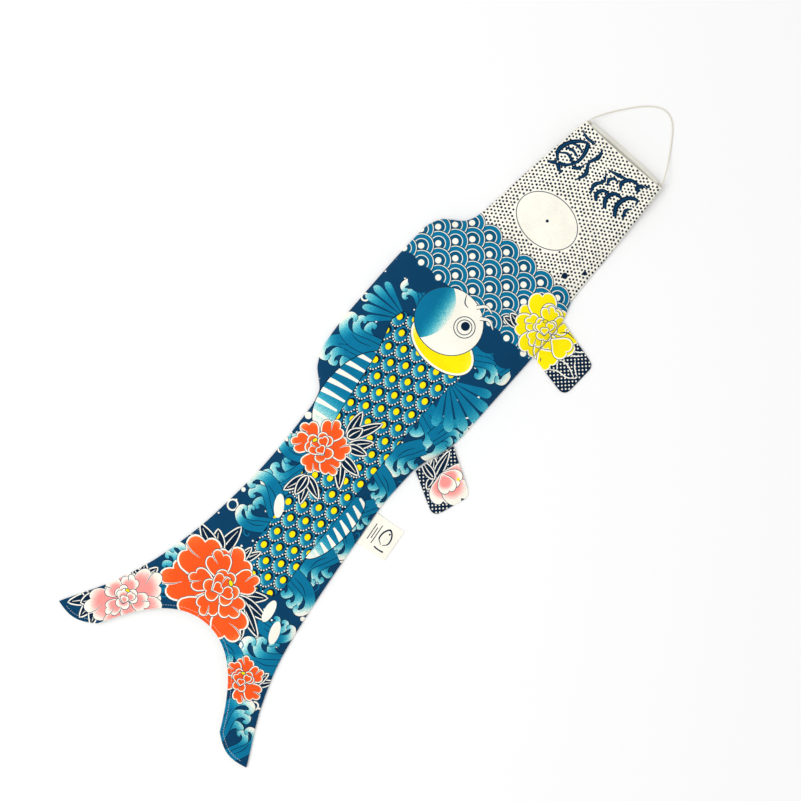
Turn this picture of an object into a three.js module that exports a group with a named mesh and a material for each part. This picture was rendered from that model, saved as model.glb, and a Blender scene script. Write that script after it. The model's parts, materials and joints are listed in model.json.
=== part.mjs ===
// Carp streamer: a hollow printed cotton fish, sewn from a front and a back panel, with a sprung hoop
// in its mouth, a cord bridle, two side fins, a sewn-in label and an open swallow tail.
// It lies flat with a little air in it. Millimetres, +Z up, mouth towards +X, back of the fish towards +Y.
// The cloth is made in stretches with a narrow gap at each line where it bends.

import * as THREE from 'three';
import { mergeVertices } from 'three/addons/utils/BufferGeometryUtils.js';

// ---- driving dimensions ----
const bodyLength = 1000;       // mouth to tail tips
const mouthWidth = 142;        // across the flattened mouth
const mouthHeight = 26;        // of the open mouth as it lies
const napeHeight = 97;         // top edge above the centreline, just before the back fin
const backHeight = 144;        // top edge along the back fin
const bellyDepth = 94;         // bottom edge below the centreline
const waistTop = 88.5;         // top edge at the narrow waist
const waistBottom = 73.5;      // bottom edge at the waist
const tailSpread = 354;        // across the two tail tips
const forkDepth = 116;         // tail tips to the bottom of the fork
const tailEndWidth = 62;       // across the blunt end of a tail lobe

const cloth = 0.8;             // thickness of a cloth layer
const clearance = 0.3;         // between pieces that touch
const bendGap = 6;             // between stretches at a bend
const seamThickness = 1.0;     // overlocked allowance between the two panels
const seamWidth = 6;
const hemWidth = 6;            // turned-in hem along the tail opening
const hemInset = 1;            // hem's fold behind the panel's edge
const bodySeamHeight = 2.4;    // seam above the ground where the fish lies flat
const finSeamHeight = 1.6;
const headRun = 150;           // length over which the mouth flattens into the body
const flatReach = 45;          // distance from the seam at which the cloth levels out

const hoopThickness = 1.2;     // boning strip
const hoopWidth = 5;
const hoopSetback = 2;         // hoop behind the mouth's edge
const hoopPlay = 0.9;          // room round the hoop in its casing
const sleeveLength = 24;
const sleeveWall = 0.3;
const casingWidth = 13;
const casingOpening = 3.6;       // half the opening left in the casing at each side seam
const mouthScoop = 5;          // the hoop leans: top set back and bottom forward by this much

const cordDiameter = 2;
const knotRadius = 2.6;
const cordInset = 3.5;         // cord's ends this far in from the sides of the mouth

const labelWidth = 50;         // along the seam
const labelLength = 46;        // folded
const labelCloth = 0.5;
const labelFold = 0.5;         // room inside the fold
const hingeClear = 1.6;        // label and fins start this far outside the seam
const rootDepth = 8;           // of a fin or label root, inside the seam

const finWidth = 64;           // along the root
const finLength = 72;
const finLean = 20;            // the free end trails the root by this much
const finFlare = 4;            // the free end is this much narrower than the root
const finCorner = 14;
const straightPast = 7;        // the belly stays straight this far past the pelvic fin's root

// ---- stations along the fish, from the mouth at 0 to the tail tips ----
const along = (share) => -share * bodyLength;
const neckX = along(0.205);
const trunkX = along(0.4);
const waistX = along(0.58);
const tailX = along(0.79);
const pectoralX = along(0.265);   // middle of the fin's root
const pelvicX = along(0.498);
const labelX = along(0.634);
const forkX = -(bodyLength - forkDepth);
const lobeRootTopX = along(0.85);    // where a lobe's bend line meets the outer edge

// ---- smooth curve through stations, as a function of x ----
function throughStations(stations) {
  const xs = stations.map((s) => s[0]);
  const ys = stations.map((s) => s[1]);
  const slopes = xs.slice(1).map((x, i) => (ys[i + 1] - ys[i]) / (x - xs[i]));
  const tangents = xs.map((_, i) => {
    if (i === 0) return slopes[0];
    if (i === xs.length - 1) return slopes[i - 1];
    const product = slopes[i - 1] * slopes[i];
    return product <= 0 ? 0 : (2 * product) / (slopes[i - 1] + slopes[i]);
  });
  return (x) => {
    let i = xs.findIndex((_, k) => k > 0 && x >= xs[k]) - 1;
    if (i < 0) i = x > xs[0] ? 0 : xs.length - 2;
    const width = xs[i + 1] - xs[i];
    const t = THREE.MathUtils.clamp((x - xs[i]) / width, 0, 1);
    const t2 = t * t;
    const t3 = t2 * t;
    return (2 * t3 - 3 * t2 + 1) * ys[i] + (t3 - 2 * t2 + t) * width * tangents[i]
      + (3 * t2 - 2 * t3) * ys[i + 1] + (t3 - t2) * width * tangents[i + 1];
  };
}

const topEdge = throughStations([
  [0, mouthWidth / 2],
  [along(0.1), (mouthWidth / 2 + napeHeight) / 2 + 1],
  [along(0.2), napeHeight],
  [along(0.216), napeHeight + 7],
  [along(0.24), backHeight - 11],
  [along(0.264), backHeight - 2],
  [along(0.33), backHeight],
  [along(0.42), backHeight - 1],
  [along(0.48), backHeight - 6],
  [along(0.508), backHeight - 18],
  [along(0.535), waistTop + 11],
  [along(0.56), waistTop + 5],
  [along(0.66), waistTop],
  [along(0.76), waistTop + 6],
  [along(0.85), (waistTop + tailSpread / 2) / 2 - 22],
  [along(0.92), (waistTop + tailSpread / 2) / 2 + 2],
  [along(1), tailSpread / 2],
]);

// The belly is straight under the pelvic fin, so that the fin can fold along its root.
const pelvicLine = [1, 0.5, 0, -0.5, -1].map((share) => [
  pelvicX + share * (finWidth / 2 + straightPast),
  THREE.MathUtils.lerp(-waistBottom - 0.5, -bellyDepth + 1, (share + 1) / 2),
]);

const bottomEdge = throughStations([
  [0, -mouthWidth / 2],
  [along(0.12), -mouthWidth / 2 - 7.5],
  [along(0.2), -mouthWidth / 2 - 11],
  [along(0.235), -bellyDepth + 2],
  [along(0.3), -bellyDepth],
  [along(0.44), -bellyDepth],
  ...pelvicLine,
  [along(0.58), -waistBottom],
  [along(0.66), -waistBottom - 8],
  [along(0.76), -waistBottom - 21],
  [along(0.85), -(waistTop + tailSpread / 2) / 2 + 22],
  [along(0.92), -(waistTop + tailSpread / 2) / 2 - 2],
  [along(1), -tailSpread / 2],
]);

// ---- how the cloth rises from the seam ----
const smooth = (t) => THREE.MathUtils.smoothstep(t, 0, 1);
const mouthSeamHeight = mouthHeight / 2;
const halfGap = seamThickness / 2 + clearance;         // seam line to the inner face of a panel
const mouthRise = mouthSeamHeight - halfGap - cloth;
const riseAt = throughStations([
  [0, mouthRise],
  [along(0.1), mouthRise + 3],
  [along(0.2), mouthRise + 5],
  [along(0.35), mouthRise + 8],
  [along(0.5), mouthRise + 5],
  [along(0.6), mouthRise + 1],
  [along(0.8), mouthRise],
  [forkX, 8],
  [along(1), 6],
]);
const seamHeightAt = (x) => THREE.MathUtils.lerp(mouthSeamHeight, bodySeamHeight, smooth(-x / headRun));

// Share of the full rise at a distance from the seam: half an ellipse at the mouth, flatter along the body.
function fullness(x, distance) {
  const flat = smooth(-x / headRun);
  const reach = THREE.MathUtils.lerp(mouthWidth / 2, flatReach, flat);
  const power = THREE.MathUtils.lerp(0.5, 0.8, flat);
  const inset = 1 - Math.min(Math.max(distance, 0) / reach, 1);
  return (1 - inset * inset) ** power;
}

const frontInner = (x, distance) => seamHeightAt(x) + halfGap + riseAt(x) * fullness(x, distance);
function backInner(x, distance) {
  const seam = seamHeightAt(x) - halfGap;
  return seam - (seam - cloth) * fullness(x, distance);
}

// ---- makers ----
const streamer = new THREE.Group();
const colours = {
  print: new THREE.MeshStandardMaterial({ color: 0x0b4a73, roughness: 0.85, metalness: 0 }),
  cream: new THREE.MeshStandardMaterial({ color: 0xf6f2e4, roughness: 0.9, metalness: 0 }),
  thread: new THREE.MeshStandardMaterial({ color: 0xe9e4d4, roughness: 0.8, metalness: 0 }),
  boning: new THREE.MeshStandardMaterial({ color: 0xf2f2f0, roughness: 0.5, metalness: 0 }),
};

function add(name, geometry, material) {
  geometry.deleteAttribute('normal');
  geometry.deleteAttribute('uv');
  const mesh = new THREE.Mesh(mergeVertices(geometry, 1e-4), material);
  mesh.name = name;
  streamer.add(mesh);
  return mesh;
}

// A closed slab whose corners go through place(u, v, w), each from 0 to 1.
function slab(uSteps, vSteps, place) {
  const geometry = new THREE.BoxGeometry(1, 1, 1, uSteps, vSteps, 1);
  const position = geometry.getAttribute('position');
  for (let i = 0; i < position.count; i++) {
    const [x, y, z] = place(position.getX(i) + 0.5, position.getY(i) + 0.5, position.getZ(i) + 0.5);
    position.setXYZ(i, x, y, z);
  }
  return geometry;
}

// A panel layer over a patch given by place(u, v) -> [x, y] with its distance from the seam.
function panelPair(name, uSteps, vSteps, place) {
  add(`${name}_front_panel`, slab(uSteps, vSteps, (u, v, w) => {
    const [x, y, distance, station] = place(u, v, 1);
    return [x, y, frontInner(station, distance) + w * cloth];
  }), colours.print);
  add(`${name}_back_panel`, slab(uSteps, vSteps, (u, v, w) => {
    const [x, y, distance, station] = place(u, v, -1);
    return [x, y, backInner(station, distance) - (1 - w) * cloth];
  }), colours.print);
}

// A stretch of the body between two x stations; v runs from the bottom edge to the top edge.
function bodyStretch(name, aftX, foreX, uSteps, vSteps, mouthEnd = false) {
  panelPair(name, uSteps, vSteps, (u, v, side) => {
    const station = THREE.MathUtils.lerp(aftX, foreX, u);
    const share = (1 - Math.cos(Math.PI * v)) / 2;
    const y = THREE.MathUtils.lerp(bottomEdge(station), topEdge(station), share);
    const distance = Math.min(topEdge(station) - y, y - bottomEdge(station));
    const scoop = mouthEnd ? -side * mouthScoop * fullness(0, distance) * u : 0;
    return [station + scoop, y, distance, station];
  });
}

// The seam allowance along one edge of the body.
function bodySeam(name, edge, aftX, foreX, steps, width = seamWidth) {
  const inward = edge === topEdge ? -1 : 1;
  add(name, slab(steps, 1, (u, v, w) => {
    const x = THREE.MathUtils.lerp(aftX, foreX, u);
    const inset = (inward > 0 ? v : 1 - v) * width;
    return [x, edge(x) + inward * inset, seamHeightAt(x) + (w - 0.5) * seamThickness];
  }), colours.thread);
}

// ---- mouth: hoop, its sleeve and the casing it runs in ----
const lean = mouthScoop / mouthRise;
const leaning = new THREE.Matrix4().makeShear(0, 0, 0, 0, -lean, 0);
const hoopHalfWidth = mouthWidth / 2 - hoopPlay - 0.6;
const hoopHalfHeight = mouthRise + halfGap - hoopPlay;
const casingHalfWidth = hoopHalfWidth - hoopThickness - hoopPlay;
const casingHalfHeight = hoopHalfHeight - hoopThickness - hoopPlay;
const ringSteps = 48;

// Stands a flat x-y outline up across the fish, and leans it with the mouth.
function acrossTheMouth(geometry, foreX) {
  geometry.applyMatrix4(new THREE.Matrix4().makeBasis(
    new THREE.Vector3(0, 1, 0), new THREE.Vector3(0, 0, 1), new THREE.Vector3(1, 0, 0)));
  geometry.translate(foreX, 0, 0);
  const position = geometry.getAttribute('position');
  for (let i = 0; i < position.count; i++) {
    position.setX(i, position.getX(i) - lean * position.getZ(i));
  }
  geometry.translate(0, 0, mouthSeamHeight);
  return geometry;
}

function mouthHoop() {
  const ring = new THREE.Shape();
  ring.absellipse(0, 0, hoopHalfWidth, hoopHalfHeight, 0, Math.PI * 2);
  const hole = new THREE.Path();
  hole.absellipse(0, 0, hoopHalfWidth - hoopThickness, hoopHalfHeight - hoopThickness, 0, Math.PI * 2);
  ring.holes.push(hole);
  const geometry = new THREE.ExtrudeGeometry(ring, {
    depth: hoopWidth,
    bevelEnabled: false,
    curveSegments: ringSteps,
  });
  add('mouth_hoop', acrossTheMouth(geometry, -hoopSetback - hoopWidth), colours.boning);
}

// Flat tube that holds the two ends of the boning together, at the bottom of the hoop.
function hoopSleeve() {
  const share = sleeveLength / 2 / hoopHalfWidth;
  const hoopSag = hoopHalfHeight * (1 - Math.sqrt(1 - share * share));   // the hoop curves inside it
  const stripHeight = hoopThickness + hoopSag;
  const innerWidth = hoopWidth + lean * stripHeight + 2 * clearance;
  const innerHeight = stripHeight + 2 * clearance;
  const outerWidth = innerWidth + 2 * sleeveWall;
  const outerHeight = innerHeight + 2 * sleeveWall;
  const rectangle = (width, height, path) => path
    .moveTo(-width / 2, -height / 2).lineTo(width / 2, -height / 2)
    .lineTo(width / 2, height / 2).lineTo(-width / 2, height / 2).closePath();
  const section = rectangle(outerWidth, outerHeight, new THREE.Shape());
  section.holes.push(rectangle(innerWidth, innerHeight, new THREE.Path()));
  const geometry = new THREE.ExtrudeGeometry(section, { depth: sleeveLength, bevelEnabled: false });
  geometry.rotateX(Math.PI / 2);
  geometry.translate(
    -hoopSetback - hoopWidth / 2 + lean * (hoopHalfHeight - stripHeight / 2),
    sleeveLength / 2,
    mouthSeamHeight - hoopHalfHeight + stripHeight / 2,
  );
  add('hoop_sleeve', geometry, colours.boning);
}

function casing(name, side) {
  const fromAngle = Math.asin(casingOpening / casingHalfHeight);
  const outline = new THREE.Shape();
  const toAngle = Math.PI - fromAngle;
  outline.absellipse(0, 0, casingHalfWidth, casingHalfHeight, fromAngle, toAngle);
  outline.absellipse(0, 0, casingHalfWidth - cloth, casingHalfHeight - cloth, toAngle, fromAngle, true);
  outline.closePath();
  const geometry = new THREE.ExtrudeGeometry(outline, {
    depth: casingWidth,
    bevelEnabled: false,
    curveSegments: ringSteps / 2,
  });
  if (side < 0) geometry.rotateZ(Math.PI);
  add(name, acrossTheMouth(geometry, -casingWidth), colours.cream);
}

mouthHoop();
hoopSleeve();
casing('mouth_casing_front', 1);
casing('mouth_casing_back', -1);

// ---- body ----
const half = bendGap / 2;
bodyStretch('head', neckX + half, 0, 14, 24, true);
bodyStretch('fore', trunkX + half, neckX - half, 12, 20);
bodyStretch('mid', waistX + half, trunkX - half, 12, 20);
bodyStretch('rear', tailX + half, waistX - half, 10, 18);

bodySeam('head_top_seam', topEdge, neckX + half, -casingWidth - clearance, 10);
bodySeam('head_bottom_seam', bottomEdge, neckX + half, -casingWidth - clearance, 10);
bodySeam('fore_top_seam', topEdge, trunkX + half, neckX - half, 16);
bodySeam('mid_top_seam', topEdge, waistX + half, trunkX - half, 14);
bodySeam('rear_top_seam', topEdge, tailX + half, waistX - half, 8);

// The belly seam, interrupted where the roots of the fins and of the label are caught in it.
const rootGap = clearance;
bodySeam('neck_bottom_seam', bottomEdge, pectoralX + finWidth / 2 + rootGap, neckX - half, 3);
bodySeam('fore_bottom_seam', bottomEdge, trunkX + half, pectoralX - finWidth / 2 - rootGap, 5);
bodySeam('mid_bottom_seam', bottomEdge, pelvicX + finWidth / 2 + rootGap, trunkX - half, 4);
bodySeam('waist_bottom_seam', bottomEdge, waistX + half, pelvicX - finWidth / 2 - rootGap, 4);
bodySeam('rear_bottom_seam', bottomEdge, labelX + labelWidth / 2 + rootGap, waistX - half, 3);
bodySeam('peduncle_bottom_seam', bottomEdge, tailX + half, labelX - labelWidth / 2 - rootGap, 6);

// ---- tail: a fan with the fork in it, and two lobes ----
const tailTip = new THREE.Vector2(along(1), tailSpread / 2);
const lobeInner = new THREE.Vector2(along(1) + 14, tailSpread / 2 - tailEndWidth);
const forkMiddle = new THREE.Vector2(forkX, 0);
// Half of the fork, from its middle up to the inner corner of a lobe.
const halfFork = new THREE.CubicBezierCurve(
  forkMiddle,
  new THREE.Vector2(forkX, lobeInner.y * 0.42),
  new THREE.Vector2(forkX - (forkX - lobeInner.x) * 0.38, lobeInner.y * 0.72),
  lobeInner,
);
const forkRootShare = 0.42;      // where a lobe's bend line meets the fork
const rootInner = halfFork.getPointAt(forkRootShare);
const rootOuter = new THREE.Vector2(lobeRootTopX, topEdge(lobeRootTopX));
const rootLine = new THREE.Vector2().subVectors(rootOuter, rootInner).normalize();
const aftOfRoot = new THREE.Vector2(-rootLine.y, rootLine.x);   // square to the bend line, towards the tip

// The fan runs from the straight bend at the rear of the body to the fork; v from bottom edge to top edge.
function fanEnd(v) {
  const s = Math.abs(2 * v - 1);
  const corner = 0.52;
  const point = s < corner
    ? halfFork.getPointAt(forkRootShare * s / corner)
    : new THREE.Vector2().lerpVectors(rootInner, rootOuter, (s - corner) / (1 - corner));
  const pulled = s < corner ? s / corner : 1;
  point.addScaledVector(aftOfRoot, -half * pulled);
  return v < 0.5 ? new THREE.Vector2(point.x, -point.y) : point;
}

const seamDistance = (x, y) => (y > 0 ? topEdge(x) - y : y - bottomEdge(x));

panelPair('tail', 8, 24, (u, v) => {
  const start = tailX - half;
  const rootY = THREE.MathUtils.lerp(bottomEdge(start), topEdge(start), v);
  const end = fanEnd(v);
  const x = THREE.MathUtils.lerp(end.x, start, u);
  const y = v === 0 ? bottomEdge(x) : v === 1 ? topEdge(x) : THREE.MathUtils.lerp(end.y, rootY, u);
  return [x, y, seamDistance(x, y), x];
});

// A tail lobe: v runs from the fork to the outer edge, u from the bend line to the blunt end.
function lobePoint(u, v) {
  const inner = halfFork.getPointAt(THREE.MathUtils.lerp(forkRootShare, 1, u));
  const outerX = THREE.MathUtils.lerp(rootOuter.x, tailTip.x, u);
  const outer = new THREE.Vector2(outerX, topEdge(outerX));
  const point = new THREE.Vector2().lerpVectors(inner, outer, v);
  point.x -= 9 * u * u * Math.sin(Math.PI * v);
  return point.addScaledVector(aftOfRoot, half * (1 - u));
}

for (const side of [1, -1]) {
  const name = side > 0 ? 'top_lobe' : 'bottom_lobe';
  panelPair(name, 8, 8, (u, v) => {
    const along1 = side > 0 ? v : 1 - v;
    const point = lobePoint(1 - u, along1);
    if (along1 === 1) point.y = topEdge(point.x);
    return [point.x, side * point.y, topEdge(point.x) - point.y, point.x];
  });
}

for (const [word, edge] of [['top', topEdge], ['bottom', bottomEdge]]) {
  bodySeam(`tail_${word}_seam`, edge, rootOuter.x + half + 4, tailX - half, 4);
  bodySeam(`${word}_lobe_seam`, edge, along(1) + 8, rootOuter.x - half, 8);
}

// A turned-in hem lies inside each panel along the open edge of the tail.
function hemPair(name, uSteps, place) {
  for (const [word, base] of [
    ['front', (x, distance) => frontInner(x, distance) - clearance - cloth],
    ['back', (x, distance) => backInner(x, distance) + clearance],
  ]) {
    add(`${name}_${word}_hem`, slab(uSteps, 1, (u, v, w) => {
      const [x, y] = place(u, v);
      return [x, y, base(x, seamDistance(x, y)) + w * cloth];
    }), colours.cream);
  }
}

// Along the middle of the fork, between the bend lines of the two lobes.
const forkHemShare = 0.46;
hemPair('fork', 12, (u, v) => {
  const edge = fanEnd(0.5 + forkHemShare * (0.5 - u));
  return [edge.x + hemInset + v * hemWidth, edge.y];
});

// Round a lobe: up its side of the fork, and along its blunt end.
const lobeLength = tailTip.distanceTo(rootOuter);
const cornerShare = 0.62;        // of the hem's run that goes up the fork
const tipShare = 0.84;           // of the blunt end that is hemmed
for (const side of [1, -1]) {
  hemPair(side > 0 ? 'top_lobe' : 'bottom_lobe', 16, (u, v) => {
    const run = side > 0 ? 1 - u : u;
    const depth = hemInset + v * hemWidth;
    const upFork = Math.min(run / cornerShare, 1);
    const alongEnd = Math.max((run - cornerShare) / (1 - cornerShare), 0);
    const point = lobePoint(
      Math.min(upFork, 1 - depth / lobeLength),
      Math.max(alongEnd * tipShare, depth / tailEndWidth),
    );
    return [point.x, side * point.y];
  });
}

// ---- fins and label, free to flap on their roots in the belly seam ----
// The belly line under a piece: where it starts, the way along it to the tail, and the way out of it.
function bellyRoot(middleX, width) {
  const fore = new THREE.Vector3(middleX + width / 2, bottomEdge(middleX + width / 2), 0);
  const aft = new THREE.Vector3(middleX - width / 2, bottomEdge(middleX - width / 2), 0);
  const tailward = aft.sub(fore).normalize();
  const outward = new THREE.Vector3(-tailward.y, tailward.x, 0);
  return { fore, tailward, outward };
}

const up = new THREE.Vector3(0, 0, 1);

// An outline through corners, each rounded by cutting the same length off both its sides.
function roundedOutline(corners, cuts) {
  const shape = new THREE.Shape();
  corners.forEach((corner, i) => {
    const before = corners[(i + corners.length - 1) % corners.length];
    const after = corners[(i + 1) % corners.length];
    const entry = corner.clone().add(before.clone().sub(corner).setLength(cuts[i]));
    const exit = corner.clone().add(after.clone().sub(corner).setLength(cuts[i]));
    if (i === 0) shape.moveTo(entry.x, entry.y);
    else shape.lineTo(entry.x, entry.y);
    if (cuts[i] > 0) shape.quadraticCurveTo(corner.x, corner.y, exit.x, exit.y);
  });
  return shape;
}

function fin(name, middleX) {
  const { fore, tailward, outward } = bellyRoot(middleX, finWidth);
  const outline = roundedOutline([
    new THREE.Vector2(0, hingeClear),
    new THREE.Vector2(finWidth, hingeClear),
    new THREE.Vector2(finWidth + finLean - finFlare, finLength - finFlare),
    new THREE.Vector2(finLean, finLength),
  ], [0, 0, finCorner, finCorner / 2]);
  for (const [layer, bottom] of [['back', 0], ['front', cloth + clearance]]) {
    const geometry = new THREE.ExtrudeGeometry(outline, {
      depth: cloth,
      bevelEnabled: false,
      curveSegments: 6,
    });
    geometry.applyMatrix4(new THREE.Matrix4().makeBasis(tailward, outward, up));
    geometry.translate(fore.x, fore.y, bottom);
    add(`${name}_${layer}`, geometry, colours.print);
  }
  bodySeam(`${name}_root`, bottomEdge, middleX - finWidth / 2, middleX + finWidth / 2, 4, rootDepth);
}

function sideLabel() {
  const { fore, tailward, outward } = bellyRoot(labelX, labelWidth);
  const thickness = 2 * labelCloth + labelFold;
  const foldX = labelLength - thickness / 2;
  const tape = new THREE.Shape();
  tape.moveTo(hingeClear, 0);
  tape.absarc(foldX, thickness / 2, thickness / 2, -Math.PI / 2, Math.PI / 2);
  tape.lineTo(hingeClear, thickness);
  tape.lineTo(hingeClear, thickness - labelCloth);
  tape.absarc(foldX, thickness / 2, labelFold / 2, Math.PI / 2, -Math.PI / 2, true);
  tape.lineTo(hingeClear, labelCloth);
  tape.closePath();
  const geometry = new THREE.ExtrudeGeometry(tape, {
    depth: labelWidth,
    bevelEnabled: false,
    curveSegments: 4,
  });
  geometry.applyMatrix4(new THREE.Matrix4().makeBasis(outward, up, tailward));
  geometry.translate(fore.x, fore.y, 0);
  add('side_label', geometry, colours.cream);
  bodySeam('side_label_root', bottomEdge, labelX - labelWidth / 2, labelX + labelWidth / 2, 4, rootDepth);
}

fin('pectoral_fin', pectoralX);
fin('pelvic_fin', pelvicX);
sideLabel();

// ---- bridle: a cord from one corner of the mouth to the other, knotted at both ends ----
const knotX = knotRadius + 0.6;
const knotY = mouthWidth / 2 - cordInset;
const cordEndX = knotX + knotRadius + clearance;
const cordRadius = cordDiameter / 2;
const cordRest = cordRadius + 0.1;      // height of the cord's middle where it lies on the ground

function knot(name, side) {
  const profile = new THREE.Path().absarc(0, 0, knotRadius, -Math.PI / 2, Math.PI / 2).getPoints(8);
  profile[0].x = 0;
  profile[profile.length - 1].x = 0;
  const geometry = new THREE.LatheGeometry(profile, 12);
  geometry.rotateX(Math.PI / 2);
  geometry.translate(knotX, side * knotY, mouthSeamHeight);
  add(name, geometry, colours.thread);
}

// It leaves both knots level, and droops to lie on the ground in front of the mouth.
const bridleRoute = [
  [cordEndX, knotY, mouthSeamHeight], [13, 64.5, 11.9], [20, 61, 9.3], [28, 56.8, 5.9], [37, 51.3, 2.9],
  [46, 45, 1.4], [55, 38.2, cordRest], [64, 30.8, cordRest], [73, 22, cordRest], [81, 12, cordRest],
  [86, 1, cordRest], [86, -10, cordRest], [81, -20, cordRest], [72, -29, cordRest], [62, -36.6, cordRest],
  [52, -43.4, 1.3], [43, -49, 2.5], [34, -54, 4.7], [25, -58.8, 7.8], [16, -63, 10.9],
  [cordEndX, -knotY, mouthSeamHeight],
];

function bridle() {
  const section = new THREE.Shape();
  section.absarc(0, 0, cordRadius, 0, Math.PI * 2);
  const points = bridleRoute.map((point) => new THREE.Vector3(...point));
  const route = new THREE.CatmullRomCurve3(points, false, 'centripetal');
  const steps = Math.round(route.getLength() / (2.5 * cordDiameter));
  const geometry = new THREE.ExtrudeGeometry(section, { extrudePath: route, steps, curveSegments: 4 });
  add('bridle_cord', geometry, colours.thread);
}

const bodyMeshes = [...streamer.children];
knot('bridle_knot_top', 1);
knot('bridle_knot_bottom', -1);
bridle();

// The origin is on the ground under the middle of the fish, the cord left out.
const outside = new THREE.Box3();
for (const mesh of bodyMeshes) outside.expandByObject(mesh);
const middle = outside.getCenter(new THREE.Vector3());
streamer.position.set(-middle.x, -middle.y, -outside.min.z);

export default streamer;
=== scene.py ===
# Carp streamer: a hollow printed cotton fish lying flat with a little air in it, seen from above.
# Drawing sizes are in millimetres on the flat cloth, with x = 0 along the mouth, the tail at negative x
# and the back of the fish at positive y. Everything made is in metres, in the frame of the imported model.

import json
import math

import bmesh
import bpy
import numpy as np
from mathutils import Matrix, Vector
from mathutils.geometry import delaunay_2d_cdt


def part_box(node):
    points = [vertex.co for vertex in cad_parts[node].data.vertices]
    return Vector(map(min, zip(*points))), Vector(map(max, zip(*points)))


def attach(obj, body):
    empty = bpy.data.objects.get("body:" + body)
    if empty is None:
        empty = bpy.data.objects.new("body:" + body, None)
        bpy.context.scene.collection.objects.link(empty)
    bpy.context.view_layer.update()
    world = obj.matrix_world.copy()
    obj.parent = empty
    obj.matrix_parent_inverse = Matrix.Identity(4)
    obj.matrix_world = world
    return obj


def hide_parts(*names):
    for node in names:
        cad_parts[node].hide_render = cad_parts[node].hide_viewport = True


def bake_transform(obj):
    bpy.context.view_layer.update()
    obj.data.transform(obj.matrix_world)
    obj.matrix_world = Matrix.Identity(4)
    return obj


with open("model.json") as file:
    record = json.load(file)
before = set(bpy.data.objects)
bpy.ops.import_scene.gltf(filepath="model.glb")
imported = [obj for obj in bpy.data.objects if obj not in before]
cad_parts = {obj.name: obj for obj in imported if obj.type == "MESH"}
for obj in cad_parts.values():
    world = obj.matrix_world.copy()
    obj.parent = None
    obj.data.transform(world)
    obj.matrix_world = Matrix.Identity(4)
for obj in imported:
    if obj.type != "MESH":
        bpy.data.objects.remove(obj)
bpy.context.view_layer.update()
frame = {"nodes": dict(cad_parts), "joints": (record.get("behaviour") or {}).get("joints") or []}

MM = 0.001


# ---- camera ----
# It looks straight down with a long lens, turned so that the fish swims up to the right.
def look_down(centre, view_width, turn_degrees, lens=85):
    data = bpy.data.cameras.new("camera")
    data.lens = lens
    camera = bpy.data.objects.new("camera", data)
    height = view_width / 2 / (data.sensor_width / 2 / lens)
    camera.location = (centre[0], centre[1], height + 0.01)
    camera.rotation_euler = (0, 0, math.radians(turn_degrees))
    bpy.context.collection.objects.link(camera)
    bpy.context.scene.camera = camera


look_down(centre=(0.0310, 0.0049), view_width=1.128, turn_degrees=-48.34)


# ---- bridle ----
# A thin cord of three cotton plies twisted together. It runs from one corner of the mouth to the other,
# with an overhand knot at each end, and a short lashing there holds it to the hoop.
def smooth_line(points, per=6, closed=False):
    """A curve through the points, with per steps between two of them."""
    p = np.asarray(points, float)
    if closed:
        p = np.vstack([p[-1], p, p[0], p[1]])
    else:
        p = np.vstack([2 * p[0] - p[1], p, 2 * p[-1] - p[-2]])
    t = (np.arange(per) / per)[:, None]
    line = [
        0.5 * (2 * b + (c - a) * t + (2 * a - 5 * b + 4 * c - d) * t**2 + (3 * b - a - 3 * c + d) * t**3)
        for a, b, c, d in zip(p[:-3], p[1:-2], p[2:-1], p[3:])
    ]
    return np.vstack(line if closed else line + [p[-2:-1]])


def evenly(line, step):
    """The same line with points an even distance apart."""
    run = np.r_[0, np.cumsum(np.linalg.norm(np.diff(line, axis=0), axis=1))]
    at = np.linspace(0, run[-1], max(2, round(run[-1] / step) + 1))
    return np.column_stack([np.interp(at, run, line[:, k]) for k in range(line.shape[1])])


def new_piece(name, bm, *materials):
    mesh = bpy.data.meshes.new(name)
    bm.to_mesh(mesh)
    bm.free()
    piece = bpy.data.objects.new(name, mesh)
    bpy.context.collection.objects.link(piece)
    for material in materials:
        mesh.materials.append(material)
    return piece


def sweep(bm, line, radius, sides=8):
    """Adds a round tube along the line, closed at both ends."""
    tangents = np.gradient(line, axis=0)
    tangents /= np.linalg.norm(tangents, axis=1)[:, None]
    normal = np.cross(tangents[0], (0.3, 0.2, 0.93))
    rings = []
    for point, tangent in zip(line, tangents):
        normal = normal - tangent * (normal @ tangent)
        normal /= np.linalg.norm(normal)
        side = np.cross(tangent, normal)
        turns = np.arange(sides) * 2 * math.pi / sides
        ring = point + radius * (np.cos(turns)[:, None] * normal + np.sin(turns)[:, None] * side)
        rings.append([bm.verts.new(v) for v in ring])
    for a, b in zip(rings, rings[1:]):
        for k in range(sides):
            bm.faces.new((a[k], a[k - 1], b[k - 1], b[k]))
    bm.faces.new(rings[0])
    bm.faces.new(rings[-1][::-1])
    for face in bm.faces:
        face.smooth = True


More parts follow.
